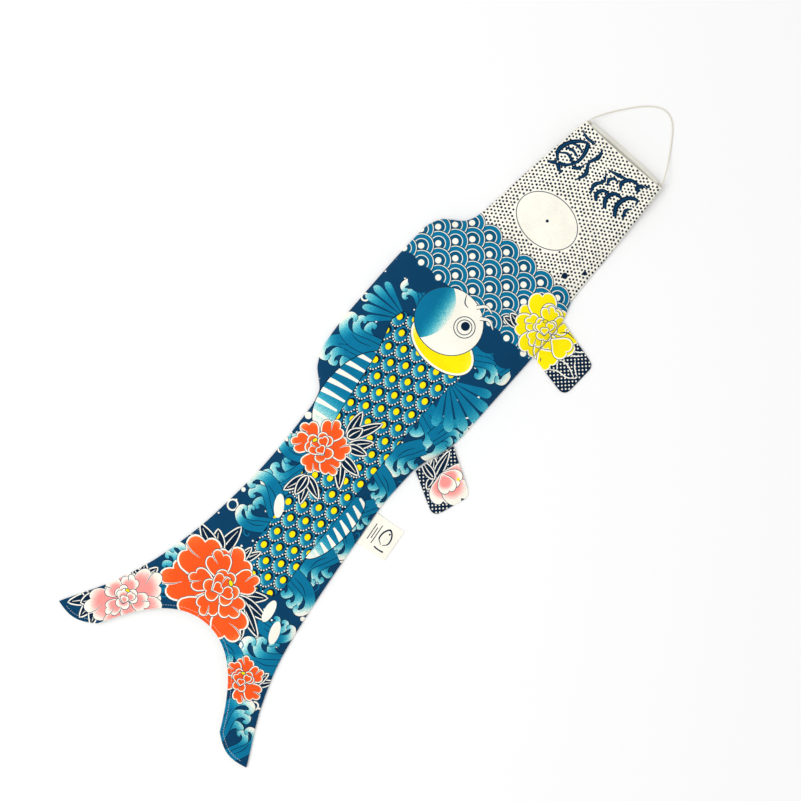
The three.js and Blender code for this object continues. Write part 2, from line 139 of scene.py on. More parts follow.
def cotton_thread(name, colour, strand):
    """Spun cotton: off-white, matt, with a fine hairy slant along the strand."""
    material = bpy.data.materials.new(name)
    material.use_nodes = True
    nodes, links = material.node_tree.nodes, material.node_tree.links
    shader = nodes["Principled BSDF"]
    shader.inputs["Roughness"].default_value = 0.85
    shader.inputs["Sheen Weight"].default_value = 0.35
    shader.inputs["Sheen Roughness"].default_value = 0.5
    shader.inputs["Specular IOR Level"].default_value = 0.2
    where = nodes.new("ShaderNodeTexCoord")
    fibre = nodes.new("ShaderNodeTexNoise")
    fibre.inputs["Scale"].default_value = 1 / strand
    fibre.inputs["Detail"].default_value = 4
    tint = nodes.new("ShaderNodeValToRGB")
    tint.color_ramp.elements[0].position = 0.3
    tint.color_ramp.elements[0].color = (*[c * 0.78 for c in colour], 1)
    tint.color_ramp.elements[1].position = 0.65
    tint.color_ramp.elements[1].color = (*colour, 1)
    bump = nodes.new("ShaderNodeBump")
    bump.inputs["Strength"].default_value = 0.5
    bump.inputs["Distance"].default_value = strand / 3
    links.new(where.outputs["Object"], fibre.inputs["Vector"])
    links.new(fibre.outputs["Fac"], tint.inputs["Fac"])
    links.new(tint.outputs["Color"], shader.inputs["Base Color"])
    links.new(fibre.outputs["Fac"], bump.inputs["Height"])
    links.new(bump.outputs["Normal"], shader.inputs["Normal"])
    return material


cord_cotton = cotton_thread("cord_cotton", (0.86, 0.82, 0.7), strand=0.0004)

knot_low, knot_high = (Vector(corner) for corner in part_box("bridle_knot_top"))
mouth_x = knot_low.x - 0.0006        # the mouth line, which every drawing size is measured from
cord_radius = 1.0
cord_start = (0.6 + 5.2 + 0.3, 67.5, 13)
bridle_route = [
    cord_start, (13, 64.5, 11.9), (20, 61, 9.3), (28, 56.8, 5.9), (37, 51.3, 2.9), (46, 45, 1.4),
    (55, 38.2, 1.1), (64, 30.8, 1.1), (73, 22, 1.1), (81, 12, 1.1), (86, 1, 1.1), (86, -10, 1.1),
    (81, -20, 1.1), (72, -29, 1.1), (62, -36.6, 1.1), (52, -43.4, 1.3), (43, -49, 2.5), (34, -54, 4.7),
    (25, -58.8, 7.8), (16, -63, 10.9), (cord_start[0], -cord_start[1], 13),
]
bridle_line = evenly(smooth_line(bridle_route), 0.8) * MM + (mouth_x, 0, 0)


def twisted_cord(bm, line, radius, plies=3, pitch=0.0055):
    tangents = np.gradient(line, axis=0)
    tangents /= np.linalg.norm(tangents, axis=1)[:, None]
    run = np.r_[0, np.cumsum(np.linalg.norm(np.diff(line, axis=0), axis=1))]
    side = np.cross(tangents, (0, 0, 1))
    side /= np.linalg.norm(side, axis=1)[:, None]
    above = np.cross(side, tangents)
    ply = radius * 0.52
    for k in range(plies):
        turn = run / pitch * 2 * math.pi + k * 2 * math.pi / plies
        offset = np.cos(turn)[:, None] * side + np.sin(turn)[:, None] * above
        sweep(bm, line + (radius - ply) * offset, ply, sides=6)


bm = bmesh.new()
twisted_cord(bm, bridle_line, cord_radius * MM)
bridle_cord = new_piece("bridle_cord_twisted", bm, cord_cotton)
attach(bridle_cord, "bridle")
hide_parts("bridle_cord")


def overhand_knot(name, centre, side):
    """A small tight knot: a trefoil of cord with its end tucked towards the mouth."""
    turns = np.linspace(0, 2 * math.pi, 61)
    knot = np.column_stack([
        (np.sin(turns) + 1.6 * np.sin(2 * turns)) * 0.62,
        (np.cos(turns) - 1.6 * np.cos(2 * turns)) * 0.62 * side,
        -np.sin(3 * turns) * 0.85,
    ])
    knot = np.column_stack([knot[:, 2] * 1.1, knot[:, 1], knot[:, 0]])
    bm = bmesh.new()
    sweep(bm, knot * MM + centre, 0.85 * MM, sides=8)
    piece = new_piece(name, bm, cord_cotton)
    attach(piece, "bridle")
    return piece


for word, side in (("top", 1), ("bottom", -1)):
    low, high = (np.array(corner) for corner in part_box(f"bridle_knot_{word}"))
    knot = overhand_knot(f"bridle_overhand_{word}", (low + high) / 2, side)
    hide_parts(f"bridle_knot_{word}")
for word, side in (("top", 1), ("bottom", -1)):
    turns = np.linspace(0, 2 * math.pi, 25)
    loop = np.column_stack([
        -1.4 + 4.2 * np.cos(turns), side * (67.3 - 0.5 * np.sin(turns)), 13 + 2.5 * np.sin(turns),
    ])
    bm = bmesh.new()
    sweep(bm, loop * MM + (mouth_x, 0, 0), 0.5 * MM, sides=6)
    lashing = new_piece(f"bridle_lashing_{word}", bm, cord_cotton)
    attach(lashing, "head")


# ---- shape of the cloth ----
# Two panels cut to one fish-shaped pattern and sewn together inside out. Lying down, the fish holds a
# little air: the mouth stands open on its hoop, and the front panel swells from the seams.
def flowing(stations):
    """A curve of y over x through the pattern's stations that never swings past them."""
    xs, ys = np.array(stations[::-1], float).T
    step = np.diff(xs)
    slope = np.diff(ys) / step
    product = slope[:-1] * slope[1:]
    inner = np.where(product > 0, 2 * slope[:-1] * slope[1:] / (slope[:-1] + slope[1:] + 1e-12), 0)
    tangent = np.r_[slope[0], inner, slope[-1]]

    def curve(x):
        x = np.clip(x, xs[0], xs[-1])
        i = np.clip(np.searchsorted(xs, x) - 1, 0, len(xs) - 2)
        w = step[i]
        t = (x - xs[i]) / w
        return ((2 * t**3 - 3 * t**2 + 1) * ys[i] + (t**3 - 2 * t**2 + t) * w * tangent[i]
                + (3 * t**2 - 2 * t**3) * ys[i + 1] + (t**3 - t**2) * w * tangent[i + 1])

    return curve


top_edge = flowing([
    (0, 71), (-100, 85), (-200, 97), (-216, 104), (-240, 133), (-264, 142), (-330, 144), (-420, 143),
    (-480, 138), (-508, 126), (-535, 99.5), (-560, 93.5), (-660, 88.5), (-760, 94.5), (-850, 110.75),
    (-920, 134.75), (-1000, 177),
])
bottom_edge = flowing([
    (0, -71), (-120, -78.5), (-200, -82), (-235, -92), (-300, -94), (-440, -94), (-459, -93), (-537, -74),
    (-580, -73.5), (-660, -81.5), (-760, -94.5), (-850, -110.75), (-920, -134.75), (-1000, -177),
])
tail_tip = np.array((-1000.0, 177.0))
lobe_inner = np.array((-986.0, 115.0))


def smooth_step(t):
    t = np.clip(t, 0, 1)
    return t * t * (3 - 2 * t)


def seam_distance(x, y):
    return np.clip(np.minimum(top_edge(x) - y, y - bottom_edge(x)), 0, None)


def seam_height(x):
    return 13 + (2.4 - 13) * smooth_step(-x / 150)


def rise(x):
    """How far the front panel's inner face stands above the seam where it is full."""
    stations = [-1000, -884, -800, -600, -500, -350, -200, -100, 0]
    return np.interp(x, stations, [7.5, 9.5, 12.9, 13.9, 17.9, 20.9, 17.9, 15.9, 12.9])


def fullness(x, distance):
    flat = smooth_step(-x / 150)
    reach = 71 + (52 - 71) * flat
    power = 0.5 + 0.22 * flat
    inset = 1 - np.clip(distance / reach, 0, 1)
    return (1 - inset**2) ** power


# Slack cloth is never quite even: broad soft swells over the panel, and short puckers along the seams
# where the stitching has drawn the cloth up. Both die out at the seam itself and at the hooped mouth.
rng = np.random.default_rng(5)
swells = [
    (rng.uniform(55, 170), rng.uniform(-1.0, 1.0) + (math.pi / 2 if k % 3 == 0 else 0), rng.uniform(0, 6.3))
    for k in range(11)
]
pucker_phase = rng.uniform(0, 6.3, 4)


def creases(x, y, distance, seed):
    height = np.zeros_like(x)
    bend = 9 * np.sin(x / 83 + seed) + 7 * np.sin(y / 41 + 2 * seed)
    for length, angle, phase in swells:
        along = x * math.cos(angle) + (y + bend) * math.sin(angle)
        height += np.sin(2 * math.pi * along / length + phase + seed) * length / 620
    height *= smooth_step(distance / 55)
    for side, phase in ((1, pucker_phase[0]), (-1, pucker_phase[1])):
        near = np.exp(-((distance / 17) ** 2)) * smooth_step(distance / 3) * (np.sign(y) == side)
        run = x / 15.5 + 0.9 * np.sin(x / 37 + phase + seed) + 1.3 * np.sin(x / 101 + phase)
        height += near * 0.55 * np.sin(run * 2 * math.pi / 2) * (0.6 + 0.4 * np.sin(x / 63 + seed))
    calm = smooth_step(-x / 60)
    return height * calm


def front_height(x, y):
    """Outer face of the front panel, in millimetres above the ground."""
    d = seam_distance(x, y)
    return seam_height(x) + 0.55 + rise(x) * fullness(x, d) + creases(x, y, d, 0.0)


def back_height(x, y):
    """Outer face of the back panel, which rests on the ground."""
    d = seam_distance(x, y)
    lift = 0.25 * (1 + np.sin(x / 47) * np.sin(y / 39)) * smooth_step(d / 60) * smooth_step(-x / 60)
    return (seam_height(x) - 0.55) * (1 - fullness(x, d) ** 0.8) + lift


def mouth_scoop(x, y, side):
    """The hoop leans, so the front panel's rim lies back and the back panel's rim lies forward."""
    reach = 5.5 if side > 0 else 9.0
    return -side * reach * fullness(0 * x, seam_distance(x, y)) * (1 - smooth_step(-x / 70))


def on_front(flat):
    x, y = flat[:, 0], flat[:, 1]
    return np.column_stack([x + mouth_scoop(x, y, 1), y, front_height(x, y)]) * MM + (mouth_x, 0, 0)


def on_back(flat):
    x, y = flat[:, 0], flat[:, 1]
    return np.column_stack([x + mouth_scoop(x, y, -1), y, back_height(x, y)]) * MM + (mouth_x, 0, 0)


# ---- the print: drawing tools ----
# Shapes are laid over each other as a printer lays inks: each is a flat outline with one ink, and a wash
# may thin the ink towards the bare cloth. A mask keeps a shape inside another one.
def linear(code):
    """A screen ink's colour from its mixing code."""
    parts = [int(code[k:k + 2], 16) / 255 for k in (0, 2, 4)]
    return np.array([max(0.003, ((c + 0.055) / 1.055) ** 2.4) for c in parts])


inks = {
    "ground": linear("023f63"),
    "night": linear("06233d"),
    "line": linear("1f3a52"),
    "teal": linear("00739a"),
    "deep_teal": linear("005578"),
    "cloth": linear("fbf8ea"),
    "yellow": linear("fde900"),
    "orange": linear("fd5a22"),
    "pink": linear("fb9c96"),
}


class Drawing:
    """A pile of inked outlines, the first at the bottom."""

    def __init__(self):
        self.shapes = []
        self.mask = None

    def ink(self, outline, ink, wash=None):
        outline = np.asarray(outline, float)
        x, y = outline[:, 0], outline[:, 1]
        if np.sum(x * np.roll(y, -1) - y * np.roll(x, -1)) < 0:
            outline = outline[::-1]
        self.shapes.append((outline, inks[ink], wash, self.mask))
        return len(self.shapes) - 1


def turned(points, turn, scale=1.0, at=(0, 0), mirror=1):
    p = np.asarray(points, float) * (scale, scale * mirror)
    c, s = math.cos(turn), math.sin(turn)
    return np.column_stack([p[:, 0] * c - p[:, 1] * s, p[:, 0] * s + p[:, 1] * c]) + at


def oval(cx, cy, rx, ry=None, turn=0.0, steps=0):
    ry = ry or rx
    steps = steps or int(8 + 5 * math.sqrt(max(rx, ry)))
    t = np.arange(steps) * 2 * math.pi / steps
    return turned(np.column_stack([rx * np.cos(t), ry * np.sin(t)]), turn, at=(cx, cy))


def stroke(points, widths, per=5):
    """A brush stroke: a curve thickened by widths given at its points."""
    line = smooth_line(points, per)
    wide = np.interp(np.arange(len(line)) / per, np.arange(len(widths)) * (len(points) - 1) / (len(widths) - 1),
                     widths) / 2
    tangent = np.gradient(line, axis=0)
    tangent /= np.linalg.norm(tangent, axis=1)[:, None] + 1e-9
    side = np.column_stack([-tangent[:, 1], tangent[:, 0]]) * wide[:, None]
    return np.vstack([line + side, (line - side)[::-1]])


def leaf(drawing, root, tip, width, fill="night", rim=1.5):
    """A pointed leaf with a bare rim and a bare midrib."""
    root, tip = np.array(root, float), np.array(tip, float)
    length = np.linalg.norm(tip - root)
    turn = math.atan2(*(tip - root)[::-1])
    t = np.linspace(0, 1, 12)
    half = width / 2 * np.sin(math.pi * t**0.8) ** 0.85

    def blade(grow):
        h = half + grow * (half > 0.01)
        side = np.column_stack([t * length + grow * (2 * t - 1), h])
        return turned(np.vstack([side, side[-2:0:-1] * (1, -1)]), turn, at=root)

    drawing.ink(blade(rim + 0.9), "line")
    drawing.ink(blade(rim), "cloth")
    drawing.ink(blade(0), fill)
    rib = turned([(length * 0.1, 0), (length * 0.45, width * 0.06), (length * 0.86, 0)], turn, at=root)
    drawing.ink(stroke(rib, (1.7, 1.5, 0.6)), "cloth")


def petal(lobes, length, width):
    """A petal's outline from its root at the origin along +x, with a scalloped far edge."""
    t = np.linspace(-math.pi, math.pi, 10 * lobes + 14, endpoint=False)
    far = smooth_step((np.cos(t) + 0.5) / 1.2)
    beat = np.abs(np.cos(lobes * t * 0.95 + (math.pi / 2 if lobes % 2 == 0 else 0)))
    notch = 1 + 0.34 * far * (beat ** 0.6 - 0.66)
    x = length * (0.52 + 0.5 * np.cos(t) * notch)
    narrow = 0.35 + 0.65 * smooth_step((x / length) / 0.62)
    y = width / 2 * np.sin(t) * notch * narrow
    return np.column_stack([x, y])


def draw_petal(drawing, ink, at, turn, length, width, lobes=3, fade=0.5, rim=2.2):
    middle = np.array((length * 0.55, 0.0))
    shape = petal(lobes, length, width)

    def sized(grow):
        away = shape - middle
        reach = np.linalg.norm(away, axis=1)[:, None]
        return turned(middle + away * (1 + grow / reach), turn, at=at)

    root = np.asarray(at, float)
    drawing.ink(sized(0.9), "line")
    drawing.ink(sized(0), "cloth")
    heart = turned([(length * 0.46, 0)], turn, at=at)[0]
    drawing.ink(sized(-rim), ink, ("round", heart, length * min(0.28, fade * 0.34), length * fade))
    if length > 24 and lobes > 2:
        folds = ((0.98, 0.16), (0.8, 0.12), (0.62, 0.02))
        cleft = turned([(length * along, length * across) for along, across in folds], turn, at=root)
        drawing.ink(stroke(cleft, (2.6, 2.4, 0.8), 4), "cloth")
        drawing.ink(stroke(cleft, (0.9, 1.0, 0.5), 4), "line")


def peony(drawing, at, size, ink, turn=0.0, outer=6, seed=0, rim=2.0, fade=0.62):
    """A full peony: a ring of scalloped petals, an inner ring, and two cups closed over the stamens."""
    petals = np.random.default_rng(seed)
    at = np.asarray(at, float)

    def toward(angle, distance):
        return at + distance * size * np.array((math.cos(angle), math.sin(angle)))

    for k in range(outer):
        angle = turn + k * 2 * math.pi / outer + petals.uniform(-0.22, 0.22)
        draw_petal(drawing, ink, toward(angle, 0.12), angle, size * petals.uniform(0.82, 1.02),
                   size * petals.uniform(0.72, 0.92), lobes=3, fade=fade, rim=rim)
    for k in range(3):
        angle = turn + 0.9 + k * 2 * math.pi / 3 + petals.uniform(-0.3, 0.3)
        wide = size * petals.uniform(0.62, 0.78)
        draw_petal(drawing, ink, toward(angle, -0.05), angle, size * 0.6, wide, lobes=2, fade=fade, rim=rim * 0.9)
    draw_petal(drawing, ink, toward(turn, -0.34), turn + 0.25, size * 0.66, size * 0.7, lobes=3, fade=fade,
               rim=rim * 0.8)
    draw_petal(drawing, ink, toward(turn + 0.9, -0.22), turn - 0.15, size * 0.44, size * 0.42, lobes=2,
               fade=fade, rim=rim * 0.8)
    draw_petal(drawing, ink, toward(turn, -0.3), turn + 0.1, size * 0.34, size * 0.4, lobes=2, fade=fade,
               rim=rim * 0.7)
    stamens = toward(turn + 0.15, 0.32)
    drawing.ink(oval(*stamens, 0.06 * size + 0.9, 0.1 * size + 1.0, turn), "line")
    drawing.ink(oval(*stamens, 0.05 * size + 0.3, 0.085 * size + 0.4, turn), "yellow")


def bubble(drawing, x, y, r):
    drawing.ink(oval(x, y, r + 1.0), "cloth")
    drawing.ink(oval(x, y, r - 1.3), "ground")


def crest(drawing, points, widths, wash=None, ink="teal"):
    """A curling wave: a tapered stroke with a dark edge, washed out towards the crest."""
    widths = np.asarray(widths, float)
    drawing.ink(stroke(points, widths + 1.8), "night")
    return drawing.ink(stroke(points, widths), ink, wash)


def fan_fin(drawing, root, start, end, reach, rays, wash):
    """A fin that opens from its root in rays, as seen on a koi's back and breast."""
    root = np.asarray(root, float)
    angles = np.linspace(math.radians(start), math.radians(end), rays + 1)
    for k in range(rays):
        a, b = angles[k] + 0.035, angles[k + 1] - 0.035
        far = reach * (0.82 + 0.18 * math.sin(math.pi * (k + 0.7) / rays))
        near = reach * 0.14
        edge = [(near, a), (far * 0.55, a), (far * 0.93, a + 0.01), (far * 1.03, (a + b) / 2 + 0.02),
                (far * 0.9, b), (far * 0.5, b), (near, b)]
        shape = smooth_line([(root[0] + r * math.cos(t), root[1] + r * math.sin(t)) for r, t in edge], 4)
        drawing.ink(shape, "teal", wash)


# ---- the print: what is drawn on the fish ----
# A printed cotton in navy, teal, yellow, orange and pink on bare cloth: a dotted head with a plain eye, rows
# of scalloped waves, a plain scaled koi among curling waves and bubbles, and peonies with dark leaves.
def within(outline, x, y):
    a, b = outline, np.roll(outline, -1, axis=0)
    crosses = (a[:, 1] > y) != (b[:, 1] > y)
    with np.errstate(divide="ignore", invalid="ignore"):
        at = a[:, 0] + (y - a[:, 1]) * (b[:, 0] - a[:, 0]) / (b[:, 1] - a[:, 1])
    return bool(np.sum(crosses & (x < at)) % 2)


def wave(drawing, at, size, turn=0.0, mirror=1, fingers=2):
    """A breaking wave: hooked crests one behind the other, paling towards their tips."""
    at = np.asarray(at, float)
    turn = math.radians(turn)

    def put(points):
        return turned(points, turn, size, at, mirror)

    hook = [(-1.1, -0.42), (-0.72, 0.0), (-0.28, 0.42), (0.2, 0.62), (0.62, 0.5), (0.78, 0.18), (0.62, 0.0),
            (0.46, 0.12)]
    if fingers > 1:
        last = np.array(hook[1:]) * 0.62 + (-0.42, -0.62)
        crest(drawing, put(last), np.array((0.36, 0.4, 0.36, 0.3, 0.24, 0.18, 0.1)) * size,
              ("line", put([(-0.5, -0.5)])[0], put([(0.15, -0.35)])[0], 0.72))
    if fingers > 0:
        low = np.array(hook) * 0.74 + (-0.1, -0.34)
        crest(drawing, put(low), np.array((0.4, 0.46, 0.44, 0.36, 0.3, 0.24, 0.18, 0.1)) * size,
              ("line", put([(-0.4, -0.2)])[0], put([(0.5, 0.1)])[0], 0.8))
    crest(drawing, put(hook), np.array((0.5, 0.6, 0.56, 0.44, 0.34, 0.27, 0.2, 0.12)) * size,
          ("line", put([(-0.15, 0.25)])[0], put([(0.8, 0.5)])[0], 0.95))
    line_work(drawing, put([(-0.75, -0.15), (-0.4, 0.22), (0.0, 0.4)]), 1.1, "night")
    line_work(drawing, put([(-0.2, 0.72), (-0.42, 0.92), (-0.66, 0.86), (-0.6, 0.68)]), 1.6, "teal")


def scales(drawing, area, mask):
    """Koi scales in staggered rows, each lapped by the next one towards the head."""
    a, b, start = np.array((26.3, -1.5)), np.array((11.0, -18.8)), np.array((-411.0, 49.0))
    spots = []
    for i in range(-22, 6):
        for j in range(-6, 12):
            spot = start + i * a + j * b
            near = area - spot
            if within(area, *spot) or np.min(np.hypot(near[:, 0], near[:, 1])) < 13:
                spots.append(spot)
    drawing.mask = mask
    for x, y in sorted((tuple(spot) for spot in spots), key=lambda s: s[0]):
        drawing.ink(oval(x - 2.6, y, 15.0, 12.0, steps=24), "night")
        drawing.ink(oval(x - 1.6, y - 0.2, 12.2, 9.6, steps=20), "teal",
                    ("line", (x - 3.0, y + 1.0), (x - 12.0, y + 8.0), 0.9))
        for k in range(9):
            turn = math.radians(100 + 20 * k)
            rim_x, rim_y = x - 2.6 + 12.9 * math.cos(turn), y + 10.1 * math.sin(turn)
            drawing.ink(oval(rim_x, rim_y, 1.15, steps=7), "cloth")
        drawing.ink(oval(x + 1.5, y - 0.5, 6.2, 5.9, steps=14), "night")
        drawing.ink(oval(x - 0.6, y + 0.3, 4.9, 4.1, 0.2, steps=12), "yellow")
    drawing.mask = None


def leaves(drawing, root, tips, width):
    for tip in tips:
        leaf(drawing, root, tip, width)


def line_work(drawing, points, width=1.5, ink="line", per=5):
    drawing.ink(stroke(points, (width * 0.5, width, width, width * 0.5), per), ink)


border_x = -214
head_border = np.array([(20, 120), (border_x, 120), (border_x, -110), (20, -110)], float)


def koi_side(share, side):
    """The koi's back or belly: an evenly tapering body, from its gills at 0 to its tail at 1."""
    return -372 - 420 * share, 28 - 42 * share + side * (56 - 26 * share)


koi_body = smooth_line([koi_side(share, 1) for share in np.linspace(0, 1, 7)]
                       + [koi_side(share, -1) for share in np.linspace(1, 0, 7)], 3, closed=True)


def draw_ground(drawing):
    """Drops of spray and bubbles on the navy ground."""
    spray = np.random.default_rng(11)
    for k in range(330):
        x, y = spray.uniform(-995, -205), spray.uniform(-170, 170)
        drawing.ink(oval(x, y, spray.uniform(1.1, 2.1), steps=9), "cloth")
    for x, y, r in ((-247, 125, 4.2), (-570, 88, 5.2), (-709, 87, 3.2), (-790, -97, 3.5), (-611, 91, 8)):
        drawing.ink(oval(x, y, r), "cloth")
    for x, y, r in ((-392, 139, 5.5), (-327, 113, 9), (-287, 125, 5.3), (-428, -87, 7), (-735, 84, 7.5),
                    (-690, -80, 5.5), (-927, -127, 6), (-632, 85, 3.6)):
        bubble(drawing, x, y, r)


def draw_waves(drawing):
    """The sea along the back and the belly, curling towards the tail and the head."""
    for at, size, turn, mirror, fingers in (
        ((-474, 112), 34, 150, -1, 2), ((-432, 112), 34, 62, 1, 2), ((-346, 88), 27, 100, -1, 1),
        ((-655, 58), 36, 120, 1, 2), ((-694, 62), 34, 100, -1, 2), ((-728, 52), 26, 80, 1, 1),
        ((-614, 74), 26, 70, 1, 1), ((-848, 92), 28, 60, -1, 2), ((-884, 90), 22, 120, 1, 1),
        ((-480, -56), 38, 205, 1, 2), ((-528, -56), 30, 195, -1, 2), ((-580, -58), 28, 205, 1, 2),
        ((-630, -62), 26, 195, -1, 2), ((-674, -62), 28, 205, 1, 2), ((-724, -68), 30, 200, -1, 2),
        ((-770, -68), 32, 215, 1, 2), ((-456, -80), 26, 300, 1, 2), ((-352, -58), 34, 255, 1, 2),
        ((-308, -56), 36, 285, -1, 2), ((-326, -84), 22, 300, 1, 1), ((-862, -88), 38, 80, 1, 2),
        ((-822, -80), 26, 320, -1, 2), ((-898, -52), 26, 230, 1, 1), ((-956, -118), 34, 330, 1, 2),
        ((-976, -148), 26, 20, -1, 1),
    ):
        wave(drawing, at, size, turn, mirror, fingers)


def draw_scalloped_sea(drawing):
    """Plain scalloped sea waves in staggered rows, the last row breaking over the border to the head."""
    spacing, radius, rows = 32, 19, 6
    for row in range(rows + 1):
        x = border_x - 18 * row
        for k in range(-3, 5):
            y = spacing * k + (spacing / 2 if row % 2 else 0)
            if row == rows:
                drawing.ink(oval(x, y, radius, steps=28), "ground")
                continue
            wash = ("line", (x + 8, y), (x - 22, y), 0.7)
            for inset, ink in ((0, "night"), (1.1, "cloth"), (2.2, "teal"), (8.2, "cloth"), (9.3, "deep_teal"),
                               (14.6, "cloth")):
                drawing.ink(oval(x, y, radius - inset, steps=28), ink, wash if ink == "teal" else None)


def draw_head_end(drawing):
    """The dotted cloth at the head, with the fish's big plain eye and two brush-drawn crests."""
    field = drawing.ink(head_border, "cloth")
    drawing.mask = field
    jitter = np.random.default_rng(3)
    for row in range(-22, 24):
        for column in range(0, 41):
            x = -2.4 - 5.9 * column - (2.95 if row % 2 else 0)
            y = 4.6 * row + 0.9 * math.sin(x / 21 + row / 5)
            x += jitter.uniform(-0.6, 0.6)
            y += jitter.uniform(-0.6, 0.6)
            if ((x + 143) / 38.5) ** 2 + ((y - 19) / 50.5) ** 2 > 1 and within(head_border, x, y):
                drawing.ink(oval(x, y, jitter.uniform(1.55, 1.85), steps=8), "night")
    drawing.mask = None
    drawing.ink(oval(-143, 19, 36.4, 48.4, steps=60), "line")
    drawing.ink(oval(-143, 19, 35.2, 47.2, steps=60), "cloth")
    drawing.ink(oval(-143, 18.5, 2.3, steps=12), "night")
    for x, y, r in ((-207, 24, 3.0), (-184, -51, 4.5), (-162, -70, 3.1)):
        drawing.ink(oval(x, y, r), "night")
    for points, widths in (
        ([(-70, 64), (-58, 73), (-42, 70), (-28, 60), (-20, 48)], (1.6, 4.0, 3.4, 2.0)),
        ([(-72, 62), (-66, 50), (-52, 42), (-36, 42), (-21, 47)], (3.4, 2.2, 3.0, 4.0)),
        ([(-72, 63), (-77, 70), (-78, 76)], (3.8, 2.6, 0.8)),
        ([(-72, 62), (-78, 54), (-79, 48)], (3.8, 2.6, 0.8)),
        ([(-58, 68), (-53, 60), (-56, 50), (-60, 46)], (1.4, 2.6, 1.4)),
        ([(-48, 68), (-44, 58), (-47, 46)], (1.4, 2.6, 1.4)),
        ([(-37, 65), (-34, 56), (-36, 45)], (1.4, 2.4, 1.2)),
        ([(-64, 43), (-58, 34), (-48, 32)], (3.2, 2.6, 0.7)),
        ([(-74, 27), (-58, 22), (-42, 29), (-26, 24), (-12, 27)], (0.9, 3.6, 2.2, 3.6, 0.9)),
        ([(-14, 40), (-16, 54), (-12, 66)], (2.8, 2.4, 1.2)),
        ([(-76, -2), (-62, 3), (-48, -4), (-36, 2)], (1.0, 3.4, 2.4, 0.9)),
        ([(-77, -14), (-70, -8), (-60, -11), (-58, -20), (-64, -22)], (2.6, 3.4, 3.0, 2.2, 0.9)),
        ([(-77, -30), (-66, -22), (-52, -26), (-50, -38), (-58, -42)], (2.8, 3.8, 3.2, 2.4, 0.9)),
        ([(-76, -48), (-62, -40), (-44, -44), (-36, -56), (-44, -60)], (3.2, 4.2, 3.6, 2.6, 0.9)),
        ([(-72, -60), (-60, -54), (-52, -58)], (1.2, 3.2, 0.9)),
        ([(-50, -12), (-42, -8), (-34, -13), (-36, -21)], (1.2, 3.0, 2.4, 0.9)),
        ([(-42, -30), (-32, -24), (-20, -30), (-18, -42), (-26, -44)], (1.6, 3.6, 3.2, 2.4, 0.9)),
        ([(-30, 2), (-26, -14), (-22, -26)], (1.2, 3.6, 1.6)),
        ([(-28, -50), (-18, -46), (-9, -58)], (1.4, 3.8, 1.2)),
    ):
        drawing.ink(stroke(points, np.array(widths) * 1.85, 4), "night")
        drawing.ink(stroke(points, np.array(widths) * 0.6, 4), "ground")


def draw_koi(drawing):
    """A plain scaled koi with an oval head, a ringed eye, fan fins and evenly striped fins."""
    fan_fin(drawing, (-378, 74), 62, 136, 66, 5, ("round", (-378, 74), 30, 72, 0.8))
    fan_fin(drawing, (-402, -26), 196, 300, 74, 6, ("round", (-402, -26), 36, 82, 0.75))
    for centre, size, stripe in (((-504, 62), (72, 38), (-16, 60)), ((-664, -44), (58, 20), (-14, -34))):
        drawing.ink(oval(*centre, size[0] + 1.4, size[1] + 1.4, -0.06), "night")
        wash = ("line", centre, (centre[0] - size[0], centre[1]))
        drawing.mask = drawing.ink(oval(*centre, *size, -0.06), "teal", wash)
        for k in range(-4, 5):
            x = centre[0] + k * size[0] / 4.2
            line = [(x + stripe[0] * a, centre[1] + stripe[1] * b) for a, b in ((0, 0), (0.4, 0.5), (1, 1))]
            drawing.ink(stroke(line, (3, 7, 8)), "cloth")
        drawing.mask = None
    drawing.ink(np.mean(koi_body, axis=0) + (koi_body - np.mean(koi_body, axis=0)) * (1.004, 1.02), "night")
    scales(drawing, koi_body, drawing.ink(koi_body, "teal"))
    for grow, ink in ((1.2, "line"), (0, "cloth"), (-3, "yellow")):
        wash = ("round", (-384, 6), 24, 66) if ink == "yellow" else None
        drawing.ink(oval(-372, 12, 31 + grow, 52 + grow, steps=40), ink, wash)
    drawing.ink(oval(-340, 28, 47, 51, steps=44), "line")
    face = drawing.ink(oval(-340, 28, 45.8, 49.8, steps=44), "cloth")
    drawing.mask = face
    drawing.ink(oval(-346, 72, 50, 44), "teal", ("line", (-346, 62), (-340, 24)))
    drawing.mask = None
    for radius in (15, 10.5):
        drawing.ink(oval(-332, 6, radius + 0.7), "line")
        drawing.ink(oval(-332, 6, radius - 0.6), "cloth")
    drawing.ink(oval(-330, 6, 6.4), "night")
    line_work(drawing, [(-296, 34), (-306, 28), (-308, 20)], 1.7)
    for points in ([(-300, 12), (-290, 2), (-292, -10)], [(-308, -2), (-302, -14), (-308, -26)]):
        drawing.ink(stroke(points, (6.2, 5.2, 2.4)), "line")
        drawing.ink(stroke(points, (4.4, 3.4, 1.0)), "cloth")


